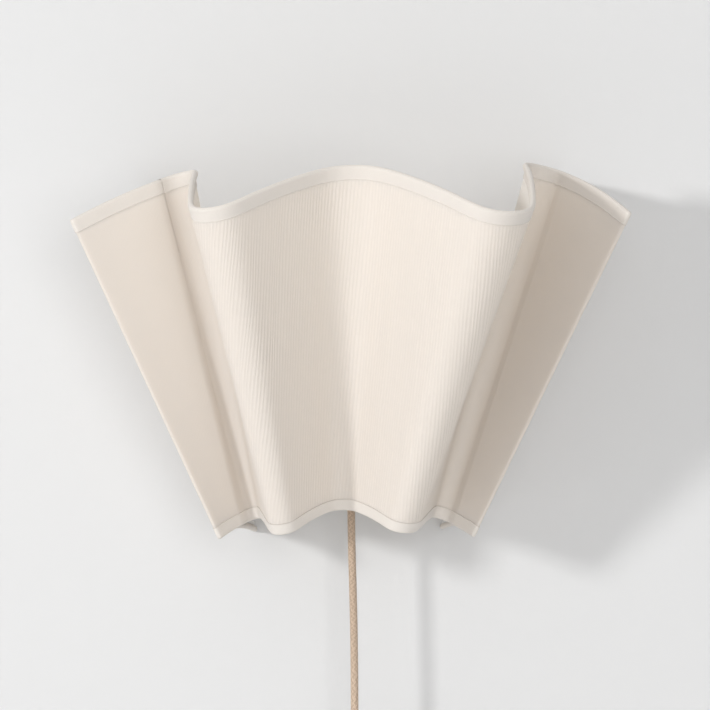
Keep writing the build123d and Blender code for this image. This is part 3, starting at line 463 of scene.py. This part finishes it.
def bump(n, height, surface, distance):
    """Feeds a height to the surface's normal; distance is the height's scale in metres."""
    node = n.add("ShaderNodeBump")
    node.inputs["Distance"].default_value = distance
    n.link(height, node.inputs["Height"])
    n.link(node.outputs[0], surface.inputs["Normal"])


def blend_in(n, surface, other, share):
    """Puts the surface mixed with a share of another shader in the material's output."""
    blend = n.add("ShaderNodeMixShader")
    n.feed(share, blend.inputs[0])
    n.link(surface.outputs[0], blend.inputs[1])
    n.link(other.outputs[0], blend.inputs[2])
    output = next(node for node in n.tree.nodes if node.type == "OUTPUT_MATERIAL")
    n.link(blend.outputs[0], output.inputs["Surface"])


def let_through(n, surface, share, tint):
    """Mixes a share of light that passes through the sheet into its surface."""
    through = n.add("ShaderNodeBsdfTranslucent")
    n.feed(tint, through.inputs["Color"])
    blend_in(n, surface, through, share)


def toned(value, by):
    """A colour made lighter or darker."""
    return tuple(min(1.0, channel * by) for channel in value)


def fix(surface, values):
    """Sets constants on the surface's own sockets."""
    for name, value in values.items():
        surface.inputs[name].default_value = value


WOVEN = {"Roughness": 0.9, "Specular IOR Level": 0.18, "Sheen Weight": 0.12, "Sheen Roughness": 0.6}


def cloth_material(sizes):
    """Undyed ribbed cloth: painted shade between the ribs and a touch of painted light on their crests, with slubs
    and soft sheen, light passing a little.
    """
    material, n, surface = new_material("ribbed cloth")
    where = n.add("ShaderNodeUVMap", uv_map="flat")
    cloth = place(n, "Ribbed cloth", pitch=sizes.rib, rib_depth=1.0)
    n.link(where.outputs[0], cloth.inputs["Vector"])
    tone = n.noise(where.outputs[0], 14.0, 3.0)
    base = tuple(sizes.cloth)
    # painted shade: the colour is darker in the grooves between the ribs and a touch lighter on their crests
    low = n.mix(cloth.outputs["Rib"], toned(base, 0.95), toned(base, 1.02))
    slubbed = n.mix(n.math("MULTIPLY", cloth.outputs["Slub"], 0.10), low, toned(base, 0.86))
    n.link(n.mix(n.math("MULTIPLY", tone, 0.08), slubbed, toned(base, 0.92)), surface.inputs["Base Color"])
    fix(surface, {**WOVEN, "Roughness": 0.92})
    bump(n, cloth.outputs["Height"], surface, 0.00022)
    let_through(n, surface, 0.3, (0.98, 0.84, 0.66))
    return material


def tape_material(sizes):
    """Plain woven tape, a little browner in a thin uneven line along its outer edge."""
    material, n, surface = new_material("hem tape")
    where = n.add("ShaderNodeUVMap", uv_map="flat")
    weave = place(n, "Plain weave", pitch=0.0006)
    n.link(where.outputs[0], weave.inputs["Vector"])
    base = tuple(sizes.tape_colour)
    woven = n.mix(weave.outputs["Uneven"], toned(base, 0.96), toned(base, 1.02))
    _, across, _ = n.parts(where.outputs[0])
    wander = n.noise(where.outputs[0], 160.0, 2.0)
    edge = n.math("LESS_THAN", across, n.math("MULTIPLY", wander, 0.0016))
    browner = (base[0] * 0.82, base[1] * 0.74, base[2] * 0.68)
    n.link(n.mix(n.math("MULTIPLY", edge, 0.2), woven, browner), surface.inputs["Base Color"])
    fix(surface, WOVEN)
    bump(n, weave.outputs["Height"], surface, 0.0001)
    return material


def film_material(sizes):
    """The satin film inside the shade."""
    material, n, surface = new_material("shade film")
    grain = place(n, "Grain", scale=900.0)
    base = tuple(sizes.film)
    n.link(n.mix(grain.outputs["Mottle"], toned(base, 0.97), toned(base, 1.02)), surface.inputs["Base Color"])
    fix(surface, {"Roughness": 0.55, "Specular IOR Level": 0.35})
    bump(n, grain.outputs["Height"], surface, 0.00005)
    let_through(n, surface, 0.3, (0.98, 0.92, 0.83))
    return material


def braid_material(name, sizes, along):
    """Braided textile sleeve in two yarns, with so many strands along the whole lead."""
    material, n, surface = new_material(name)
    where = n.add("ShaderNodeTexCoord")
    braid = place(n, "Braid", along=along, round=STRANDS)
    n.link(where.outputs["UV"], braid.inputs["Vector"])
    dark = n.math("GREATER_THAN", braid.outputs["Strand"], 0.62)
    yarn = n.mix(n.math("MULTIPLY", dark, 0.75), tuple(sizes.yarn), tuple(sizes.dark_yarn))
    # painted shade: darker yarn where the strands dip between one another
    painted_shade = n.mix(n.math("POWER", braid.outputs["Height"], 0.6), toned(sizes.dark_yarn, 0.75), yarn)
    fuzzy = n.mix(n.math("MULTIPLY", braid.outputs["Fuzz"], 0.25), painted_shade, toned(sizes.yarn, 1.2))
    n.link(fuzzy, surface.inputs["Base Color"])
    fix(surface, {"Roughness": 0.38, "Specular IOR Level": 0.8})
    bump(n, braid.outputs["Height"], surface, 0.0003)
    return material


def hard_material(name, base, rough, metal=0.0, coat=0.0, grain_scale=1500.0, grain_depth=0.00002, change=0.06):
    """A moulded, painted, plated or glazed finish with fine grain and small changes of gloss."""
    material, n, surface = new_material(name)
    grain = place(n, "Grain", scale=grain_scale)
    mottled = n.mix(grain.outputs["Mottle"], toned(base, 1 - change / 2), toned(base, 1 + change / 2))
    n.link(mottled, surface.inputs["Base Color"])
    n.link(n.math("MULTIPLY_ADD", grain.outputs["Mottle"], 0.16, rough - 0.08), surface.inputs["Roughness"])
    fix(surface, {"Metallic": metal, "Coat Weight": coat, "Coat Roughness": 0.15})
    bump(n, grain.outputs["Height"], surface, grain_depth)
    return material


def globe_material(colours):
    """Frosted white globe: a dense diffuser with a soft gloss."""
    material, n, surface = new_material("frosted globe")
    grain = place(n, "Grain", scale=1200.0)
    base = tuple(colours.glass)
    n.link(n.mix(grain.outputs["Mottle"], toned(base, 0.97), toned(base, 1.02)), surface.inputs["Base Color"])
    fix(surface, {"Roughness": 0.28, "Subsurface Weight": 0.25, "Subsurface Radius": (0.004, 0.004, 0.004),
                  "Coat Weight": 0.15})
    bump(n, grain.outputs["Height"], surface, 0.00001)
    return material


MATERIALS = {}


def finish(name):
    """The finish of that name, made the first time it is asked for."""
    if name in MATERIALS:
        return MATERIALS[name]
    shade_sizes, colours = bpy.context.scene.shade_sizes, bpy.context.scene.fitting_colours
    makers = {
        "cloth": lambda: cloth_material(shade_sizes),
        "tape": lambda: tape_material(shade_sizes),
        "film": lambda: film_material(shade_sizes),
        "plastic": lambda: hard_material("white plastic", colours.plastic, 0.38, grain_scale=2200.0),
        "paint": lambda: hard_material("powder coat", colours.paint, 0.5, grain_scale=1800.0, grain_depth=0.00006),
        "steel": lambda: hard_material("zinc plate", colours.steel, 0.34, metal=1.0, change=0.12),
        "brass": lambda: hard_material("brass", colours.brass, 0.3, metal=1.0, change=0.12),
        "nickel": lambda: hard_material("nickel plate", (0.70, 0.69, 0.66), 0.24, metal=1.0, change=0.08),
        "ceramic": lambda: hard_material("glazed core", colours.ceramic, 0.22, coat=0.4),
        "strap": lambda: hard_material("strap", (0.70, 0.68, 0.64), 0.8, grain_scale=900.0, grain_depth=0.0002),
        "core": lambda: hard_material("insulated core", (0.36, 0.23, 0.14), 0.45),
        "globe": lambda: globe_material(colours),
    }
    MATERIALS[name] = makers[name]()
    return MATERIALS[name]


def dress(node, name):
    """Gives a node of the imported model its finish."""
    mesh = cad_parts[node].data
    mesh.materials.clear()
    mesh.materials.append(finish(name))


def settle(piece, slot, *nodes, finish_name=None):
    """A new piece takes its finish, if one is named, hides the nodes it stands for and rides on the light; slot is
    not used.
    """
    if finish_name:
        piece.data.materials.append(finish(finish_name))
    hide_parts(*nodes)
    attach(piece, "light")


# ------------------------------------------------------------------------------- shade
STRAIGHT_STEPS = 22            # steps on each straight stretch of a wave
ROUND_STEPS = 18               # steps round each of its corners
RISE_STEPS = 48                # steps from rim to rim


def plan(wave, size):
    """The corners of a wave in plan, in millimetres, its ends just off the wall."""
    return np.array([(across * size[0] / 2, -WALL_GAP if out is None else -out * size[1]) for across, out in wave])


def rounded(corners, radii):
    """Points along a wave: even steps on each stretch, and even turns on an arc at each corner."""
    runs = []
    before = corners[0]
    share = np.linspace(0, 1, STRAIGHT_STEPS + 1)[:, None]
    turn = np.linspace(0, 1, ROUND_STEPS + 1)[:-1, None]
    for last, corner, following, radius in zip(corners, corners[1:], corners[2:], radii):
        back = (last - corner) / np.linalg.norm(last - corner)
        on = (following - corner) / np.linalg.norm(following - corner)
        half = np.arccos(np.clip(back @ on, -1, 1)) / 2
        middle = (back + on) / np.linalg.norm(back + on)
        centre = corner + middle * radius / np.sin(half)
        start = corner + back * radius / np.tan(half)
        end = corner + on * radius / np.tan(half)
        span = pi - 2 * half
        runs.append(before + (start - before) * share[:-1])
        runs.append(centre + ((start - centre) * np.sin((1 - turn) * span) + (end - centre) * np.sin(turn * span))
                    / np.sin(span))
        before = end
    runs.append(before + (corners[-1] - before) * share)
    return np.concatenate(runs)


def softened(line, width=2.2):
    """The line run through a bell-shaped average, so that its curvature changes without a step; its ends stay."""
    reach = int(4 * width)
    bell = np.exp(-0.5 * (np.arange(-reach, reach + 1) / width) ** 2)
    bell /= bell.sum()
    head = 2 * line[0] - line[reach:0:-1]
    tail = 2 * line[-1] - line[-2:-reach - 2:-1]
    padded = np.concatenate([head, line, tail])
    return np.stack([np.convolve(padded[:, i], bell, mode="valid") for i in range(line.shape[1])], -1)


def rise(corners, centre, radius):
    """Height over its centre of a rim's sphere at points of the plan."""
    return np.sqrt(radius ** 2 - (corners[:, 0] - centre[0]) ** 2 - (corners[:, 1] - centre[1]) ** 2)


def on_sphere(low, rule, centre, radius):
    """Share of each rule at which it passes out through a sphere."""
    start = low - centre
    a = (rule * rule).sum(1)
    b = (rule * start).sum(1)
    c = (start * start).sum(1) - radius ** 2
    return (np.sqrt(b * b - a * c) - b) / a


def unit(vectors):
    """The vectors scaled to length one."""
    return vectors / np.linalg.norm(vectors, axis=-1, keepdims=True)


def side_dips(count):
    """How far the top rim dips at each point: a half sine along each side, and a rise and fall over the right tip."""
    dip = np.zeros(count)
    swell = np.sin(np.linspace(0, pi, STRAIGHT_STEPS + 1))
    dip[:STRAIGHT_STEPS + 1] = SIDE_DIP[0] * swell
    dip[-STRAIGHT_STEPS - 1:] = SIDE_DIP[1] * swell
    away = np.linspace(1, 0, STRAIGHT_STEPS + 1) ** 2
    tip = count - STRAIGHT_STEPS - 1
    dip[tip:] += TIP_DIP * away
    dip[tip - ROUND_STEPS:tip] += TIP_DIP
    dip[tip - ROUND_STEPS - STRAIGHT_STEPS:tip - ROUND_STEPS] += TIP_DIP * away[:0:-1]
    return softened(dip[:, None])[:, 0]


def wall_dips(count):
    """How far the bottom rim dips at each point: from nothing at the outermost folds to its most at the wall."""
    dip = np.zeros(count)
    rising = np.linspace(0, 1, STRAIGHT_STEPS + 1)
    dip[-STRAIGHT_STEPS - 1:] = WALL_DIP[1] * rising
    dip[:STRAIGHT_STEPS + 1] = WALL_DIP[0] * rising[::-1]
    return softened(dip[:, None])[:, 0]


class Shade:
    """The shade's outer face: straight rules from the lower wave to the upper one, cut by a sphere at each rim.

    With s a share of the height, point (i, s) is bottom_i + s * (top_i - bottom_i). The swing is the
    angle that the cloth, laid flat, turns about the apex up to each rule.
    """

    def __init__(self):
        upper, lower = plan(UPPER_WAVE, UPPER_SIZE), plan(LOWER_WAVE, LOWER_SIZE)
        upper_level = APEX[2] + rise(upper, TOP_CENTRE, TOP_RIM_RADIUS).max() + PLAN_MARGIN
        lower_level = APEX[2] + rise(lower, APEX, BOTTOM_RIM_RADIUS).min() - PLAN_MARGIN
        high = softened(rounded(upper, UPPER_ROUNDING))
        low = softened(rounded(lower, LOWER_ROUNDING))
        high = np.column_stack([high, np.full(len(high), upper_level)])
        low = np.column_stack([low, np.full(len(low), lower_level)])
        rule = high - low
        bottom = low + rule * on_sphere(low, rule, APEX, BOTTOM_RIM_RADIUS)[:, None]
        top = low + rule * on_sphere(low, rule, TOP_CENTRE, TOP_RIM_RADIUS)[:, None]
        bottom = bottom - unit(top - bottom) * wall_dips(len(top))[:, None]
        top = top - unit(top - bottom) * side_dips(len(top))[:, None]
        self.bottom, self.top = bottom, top
        self.up = unit(top - bottom)
        middle = (top + bottom) / 2
        self.out = unit(np.cross(np.gradient(middle, axis=0), self.up))
        if self.out[len(self.out) // 2, 1] > 0:
            self.out = -self.out
        steps = np.linalg.norm(np.diff(middle, axis=0), axis=1)
        reach = np.linalg.norm((middle[1:] + middle[:-1]) / 2 - APEX, axis=1)
        self.swing = np.concatenate([[0], np.cumsum(steps / reach)])
        self.swing -= self.swing[-1] / 2
        rules = np.linalg.norm(top - bottom, axis=1)
        self.area = float((steps * (rules[1:] + rules[:-1]) / 2).sum())

    def grid(self, share):
        """Grid of points of the outer face at shares of the height; each row runs up a rule."""
        return self.bottom[:, None] + (self.top - self.bottom)[:, None] * share[None, :, None]

    def outwards(self, points):
        """Direction out of the face at each point of a grid: square to its rule and to the points beside it."""
        out = unit(np.cross(np.gradient(points, axis=0), self.up[:, None]))
        return out * np.sign((out * self.out[:, None]).sum(-1, keepdims=True))

    def face(self, share, depth):
        """Grid of points at shares of the height and at a depth below the outer face."""
        points = self.grid(share)
        return points - self.outwards(points) * depth

    def flat(self, share):
        """The same grid on the flat cloth, in metres: distance and swing about the apex, unrolled."""
        points = self.grid(share)
        reach = np.linalg.norm(points - APEX, axis=-1)
        swing = np.broadcast_to(self.swing[:, None], reach.shape)
        return np.stack([reach * np.sin(swing), reach * np.cos(swing)], -1) * MM

    def strip(self, top, run):
        """Grid of points near a rim, at pairs of distances: in from the rim, and out of the face."""
        rim = (self.top if top else self.bottom)[:, None]
        inwards = (-self.up if top else self.up)[:, None]
        run = np.asarray(run)[None]
        return rim + inwards * run[..., :1] + self.outwards(rim) * run[..., 1:]


SHADE = Shade()


def make_shade(context):
    """The sheet: ribbed cloth outside, film inside, as thick as both."""
    sizes = context.scene.shade_sizes
    share = np.linspace(0, 1, RISE_STEPS + 1)
    outer = SHADE.face(share, 0.0)
    inner = SHADE.face(share, sizes.sheet / MM)
    piece = slab("shade_cloth", outer, inner, SHADE.flat(share))
    piece.data.materials.append(finish("cloth"))
    piece.data.materials.append(finish("film"))
    side = (outer.shape[0] - 1) * (outer.shape[1] - 1)
    index = np.zeros(len(piece.data.polygons), np.int32)
    index[side:2 * side] = 1
    piece.data.polygons.foreach_set("material_index", index)
    settle(piece, "shade_cloth", "shade_fabric")


def make_tapes(context):
    """A tape folded over each rim: down the outside, round the wire, and back against the film.

    The fold is a half circle about the wire. The inner leg runs from it to the film behind the
    wire, along a half wave.
    """
    sizes = context.scene.shade_sizes
    thick = sizes.tape / MM
    low, middle = WIRE
    radius = FOLD_RADIUS - thick / 2
    share = np.linspace(0, 1, 12)
    back = 0.5 - 0.5 * np.cos(pi * np.clip(share * LEG_REACH, 0, 1))
    for name, top, wide, node in (("top_tape", True, sizes.top_tape / MM, "top_hem"),
                                  ("bottom_tape", False, sizes.bottom_tape / MM, "bottom_hem")):
        outer_leg = np.column_stack([np.linspace(wide, low, 10), np.full(10, middle + radius)])
        fold = np.array(arc(WIRE, radius, 90, 270, 14))
        deep = middle - radius
        inner_leg = np.column_stack([low + (wide - low) * share, deep + (LEG_LEVEL - deep) * back])
        line = np.concatenate([outer_leg[:-1], fold, inner_leg[1:]])
        step = np.gradient(line, axis=0)
        side = unit(np.column_stack([-step[:, 1], step[:, 0]]))
        outer = SHADE.strip(top, line - side * thick / 2)
        inner = SHADE.strip(top, line + side * thick / 2)
        along = distance_along(SHADE.top if top else SHADE.bottom)
        piece = slab(name, outer, inner, flat_grid(along, distance_along(line)))
        settle(piece, "hem_tape", node, finish_name="tape")


def make_rim_wire(context):
    """The wire in the fold of the top tape, level with the tape's own half circle."""
    wire = line_curve("rim_wire", SHADE.strip(True, [WIRE])[::3, 0], WIRE_WIDE * MM)
    settle(wire, "white_wire", "top_rim_wire", finish_name="paint")


# ------------------------------------------------------------------------------- lead
def line_curve(name, points, diameter):
    """A round lead or wire: one spline with these points as its control points; its diameter is in metres."""
    curve = bpy.data.curves.new(name, "CURVE")
    curve.dimensions = "3D"
    curve.resolution_u = 6
    curve.bevel_depth = 1.0
    curve.bevel_resolution = 5
    curve.use_fill_caps = True
    spline = curve.splines.new("NURBS")
    spline.points.add(len(points) - 1)
    flat = np.column_stack([np.asarray(points) * MM, np.ones(len(points))])
    spline.points.foreach_set("co", flat.ravel())
    spline.points.foreach_set("radius", np.full(len(points), diameter / 2))
    spline.order_u = 3
    spline.use_endpoint_u = True
    piece = bpy.data.objects.new(name, curve)
    bpy.context.scene.collection.objects.link(piece)
    return piece


def coil_point(turn, centre, inner, step, turns):
    """A point of the coil's line: round and inwards, one layer back by the middle turn, round and outwards.

    At turn t the radius is inner + step * |t - turns|, and the layer's depth is a half cosine
    that takes half a turn about t = turns.
    """
    angle = 2 * pi * turn
    radius = inner + step * abs(turn - turns)
    climb = min(max(2 * (turn - turns) + 0.5, 0), 1)
    back = step * (1 - cos(pi * climb)) / 2
    return [centre[0] - radius * cos(angle), centre[1] + back, centre[2] - radius * sin(angle)]


def make_cords(context):
    """The lead down to the switch, and the spare lead from the switch through its coil to the plug."""
    sizes = context.scene.cord_sizes
    wide = sizes.diameter / MM
    x, y = HOLDER
    steps = [(0, 0), (0, 30), (0.65, 88), (1, 146), (1, LEAD_LONG)]
    lead_points = [(x + LEAD_BOW * share, y, EXIT_LEVEL - drop) for share, drop in steps]
    lead = line_curve("lead", lead_points, sizes.diameter)
    settle(lead, "cord_textile", "cord_lead")
    lead.data.materials.append(braid_material("braided lead", sizes, LEAD_LONG / STRAND_STEP))

    step = wide + COIL_GAP
    inner = COIL_MEAN - step * COIL_TURNS / 2
    top = (x + LEAD_BOW, y, EXIT_LEVEL - LEAD_LONG - SWITCH_LONG)
    coil_top = (top[0], top[1], top[2] - LINK_LONG)
    centre = (coil_top[0] + inner + step * COIL_TURNS, coil_top[1], coil_top[2] - wide)
    count = sizes.points * 2 * COIL_TURNS
    coil = [coil_point(i / sizes.points, centre, inner, step, COIL_TURNS) for i in range(count + 1)]
    tail_top = (coil[-1][0], coil[-1][1], coil[-1][2] - wide)
    tail = [(tail_top[0] - TAIL_BOW * share, tail_top[1], tail_top[2] - drop)
            for share, drop in [(0, 0), (0, 14), (1, 38), (1, TAIL_LONG)]]
    spare_points = [top, coil_top, *coil, *tail]
    spare = line_curve("spare_lead", spare_points, sizes.diameter)
    settle(spare, "cord_textile", "cord_link", "cord_coil", "cord_tail")
    long = float(distance_along(np.array(spare_points))[-1])
    spare.data.materials.append(braid_material("braided spare lead", sizes, long / STRAND_STEP))


# ------------------------------------------------------------------------------- lamp
def make_lamp(context):
    """The globe as a turned shell: flank arc from the neck to the waist, then half a ball."""
    half = GLOBE_WIDE / 2
    waist = LAMP_TOP - half
    foot = LAMP_TOP - GLOBE_TALL
    step_in = (GLOBE_WIDE - GLOBE_NECK) / 2
    flank = ((waist - foot) ** 2 + step_in ** 2) / (2 * step_in)
    swing = np.degrees(np.arcsin((waist - foot) / flank))
    outer = arc((half - flank, waist), flank, -swing, 0, 12)[:-1] + arc((0, waist), half, 0, 90, 24)
    outer[-1] = (0.0, outer[-1][1])
    globe = lathe("globe", [(0.0, foot), *outer], HOLDER)
    settle(globe, "lamp_glass", "lamp_globe", finish_name="globe")
    dress("lamp_body", "plastic")
    dress("lamp_cap", "nickel")


# ------------------------------------------------------------------------------- stage
def one_sided(n, surface):
    """Lets the camera see through a backdrop from behind, and light past it between pieces that touch it."""
    back = n.add("ShaderNodeNewGeometry")
    path = n.add("ShaderNodeLightPath")
    touching = n.math("LESS_THAN", path.outputs["Ray Length"], 0.002)
    unseen = n.math("MAXIMUM", back.outputs["Backfacing"], touching)
    blend_in(n, surface, n.add("ShaderNodeBsdfTransparent"), unseen)


def backdrop(name, corners, base):
    """A plain pale panel with four corners in metres, facing the side from which they run anticlockwise."""
    piece = mesh_object(name, np.array(corners, float) / MM, np.array([[0, 1, 2, 3]]))
    material, n, surface = new_material(name)
    where = n.add("ShaderNodeTexCoord")
    rough = n.noise(where.outputs["Object"], 120.0, 4.0, 0.6)
    n.link(n.mix(rough, toned(base, 0.995), toned(base, 1.005)), surface.inputs["Base Color"])
    fix(surface, {"Roughness": 0.9, "Specular IOR Level": 0.1})
    bump(n, rough, surface, 0.00012)
    one_sided(n, surface)
    piece.data.materials.append(material)


def area_lamp(name, place_at, aim, power, size):
    """A square soft lamp turned to a point."""
    data = bpy.data.lights.new(name, "AREA")
    data.energy = power
    data.size = size
    lamp = bpy.data.objects.new(name, data)
    lamp.location = place_at
    lamp.rotation_euler = (Vector(aim) - Vector(place_at)).to_track_quat("-Z", "Y").to_euler()
    bpy.context.scene.collection.objects.link(lamp)


def make_stage(context):
    """Plain wall and floor, a soft lamp from the left, a wide one from the front, even room light, and the camera."""
    scene = context.scene
    settings = scene.stage_settings
    base = tuple(settings.wall)
    left, right = (-FAR, WALL_LEVEL, FLOOR_LEVEL), (FAR, WALL_LEVEL, FLOOR_LEVEL)
    backdrop("wall", [left, right, (FAR, WALL_LEVEL, FAR), (-FAR, WALL_LEVEL, FAR)], base)
    backdrop("floor", [(-FAR, -FAR, FLOOR_LEVEL), (FAR, -FAR, FLOOR_LEVEL), right, left], base)
    area_lamp("key", KEY_AT, KEY_AIM, settings.key, KEY_SIZE)
    area_lamp("fill", FILL_AT, FILL_AIM, settings.fill, FILL_SIZE)

    world = bpy.data.worlds.new("room")
    scene.world = world
    world.use_nodes = True
    n = Nodes(world.node_tree)
    background = next(node for node in world.node_tree.nodes if node.type == "BACKGROUND")
    path = n.add("ShaderNodeLightPath")
    seen = n.math("MAXIMUM", path.outputs["Is Camera Ray"],
                  n.math("MAXIMUM", path.outputs["Is Glossy Ray"], path.outputs["Is Transmission Ray"]))
    _, _, height = n.parts(n.add("ShaderNodeTexCoord").outputs["Generated"])
    even = n.math("MULTIPLY", n.math("MULTIPLY_ADD", height, 0.4, 1.0), settings.sky)
    strength = n.math("ADD", n.math("MULTIPLY", seen, SEEN_ROOM),
                      n.math("MULTIPLY", n.math("SUBTRACT", 1.0, seen), even))
    background.inputs[0].default_value = (1.0, 1.0, 1.0, 1.0)
    n.link(strength, background.inputs[1])

    data = bpy.data.cameras.new("camera")
    data.lens = FOCAL_PIXELS / PHOTO_WIDE * SENSOR
    data.sensor_width = SENSOR
    data.clip_end = 50
    camera = bpy.data.objects.new("camera", data)
    camera.location = CAMERA_AT
    camera.rotation_euler = (radians(90), radians(CAMERA_ROLL), 0)
    scene.collection.objects.link(camera)
    scene.camera = camera
    scene.view_settings.view_transform = "Standard"


def make_fittings(context):
    """Finishes of the nodes that keep their own shape."""
    for name, nodes in {
        "paint": ("spider", "wall_plate", "bracket", "bracket_rivets"),
        "steel": ("nipple_washer", "nipple_nut", "terminal_screws", "switch_screws", "rocker_pin"),
        "brass": ("holder_nipple", "screw_shell", "centre_contact", "switch_terminals"),
        "plastic": ("holder_cap", "holder_shell", "clamping_ring", "cord_grip", "switch_front", "switch_back",
                    "rocker", "plug_body"),
        "ceramic": ("holder_core",),
        "core": ("conductors", "cord_inlet"),
        "strap": ("coil_tie",),
        "nickel": ("plug_pins",),
    }.items():
        for node in nodes:
            dress(node, name)


# ------------------------------------------------------------------------------- operators
class WALLLIGHT_OT_stage(bpy.types.Operator):
    """Add the plain wall and floor, the lamps and the camera"""

    bl_idname = "wall_light.stage"
    bl_label = "Stage"

    def execute(self, context):
        make_stage(context)
        return {"FINISHED"}


class WALLLIGHT_OT_cords(bpy.types.Operator):
    """Lay the lead and its coiled spare length"""

    bl_idname = "wall_light.cords"
    bl_label = "Lead"

    def execute(self, context):
        make_cords(context)
        return {"FINISHED"}


class WALLLIGHT_OT_tapes(bpy.types.Operator):
    """Fold a tape over each rim of the shade"""

    bl_idname = "wall_light.tapes"
    bl_label = "Hem tapes"

    def execute(self, context):
        make_tapes(context)
        make_rim_wire(context)
        return {"FINISHED"}


class WALLLIGHT_OT_shade(bpy.types.Operator):
    """Make the waved sheet of the shade"""

    bl_idname = "wall_light.shade"
    bl_label = "Shade"

    def execute(self, context):
        make_shade(context)
        return {"FINISHED"}


class WALLLIGHT_OT_fittings(bpy.types.Operator):
    """Finish the plate, bracket, wires, lampholder, switch and plug"""

    bl_idname = "wall_light.fittings"
    bl_label = "Fittings"

    def execute(self, context):
        make_fittings(context)
        return {"FINISHED"}


class WALLLIGHT_OT_lamp(bpy.types.Operator):
    """Make the lamp with its frosted globe"""

    bl_idname = "wall_light.lamp"
    bl_label = "Lamp"

    def execute(self, context):
        make_lamp(context)
        return {"FINISHED"}


class WALLLIGHT_PT_panel(bpy.types.Panel):
    """Lists the pieces of the wall light and their sizes"""

    bl_idname = "WALLLIGHT_PT_panel"
    bl_label = "Wall Light"
    bl_space_type = "VIEW_3D"
    bl_region_type = "UI"
    bl_category = "Wall Light"

    def draw(self, context):
        for step in STEPS:
            self.layout.operator(step)
        for group in GROUPS_SHOWN:
            box = self.layout.box()
            settings = getattr(context.scene, group)
            for name in settings.__annotations__:
                box.prop(settings, name)


STEPS = ("wall_light.stage", "wall_light.cords", "wall_light.tapes", "wall_light.shade", "wall_light.fittings",
         "wall_light.lamp")
GROUPS_SHOWN = {"shade_sizes": ShadeSizes, "cord_sizes": CordSizes, "fitting_colours": FittingColours,
                "stage_settings": StageSettings}
CLASSES = (ShadeSizes, CordSizes, FittingColours, StageSettings, WALLLIGHT_OT_stage, WALLLIGHT_OT_cords,
           WALLLIGHT_OT_tapes, WALLLIGHT_OT_shade, WALLLIGHT_OT_fittings, WALLLIGHT_OT_lamp, WALLLIGHT_PT_panel)


def register():
    """Registers the classes and gives the scene its settings."""
    for item in CLASSES:
        bpy.utils.register_class(item)
    for name, group in GROUPS_SHOWN.items():
        setattr(bpy.types.Scene, name, PointerProperty(type=group))


def unregister():
    """Takes the settings and the classes away again."""
    for name in GROUPS_SHOWN:
        delattr(bpy.types.Scene, name)
    for item in reversed(CLASSES):
        bpy.utils.unregister_class(item)


def main():
    """Makes every piece in turn."""
    register()
    for step in STEPS:
        group, name = step.split(".")
        getattr(getattr(bpy.ops, group), name)()


if __name__ == "__main__":
    main()
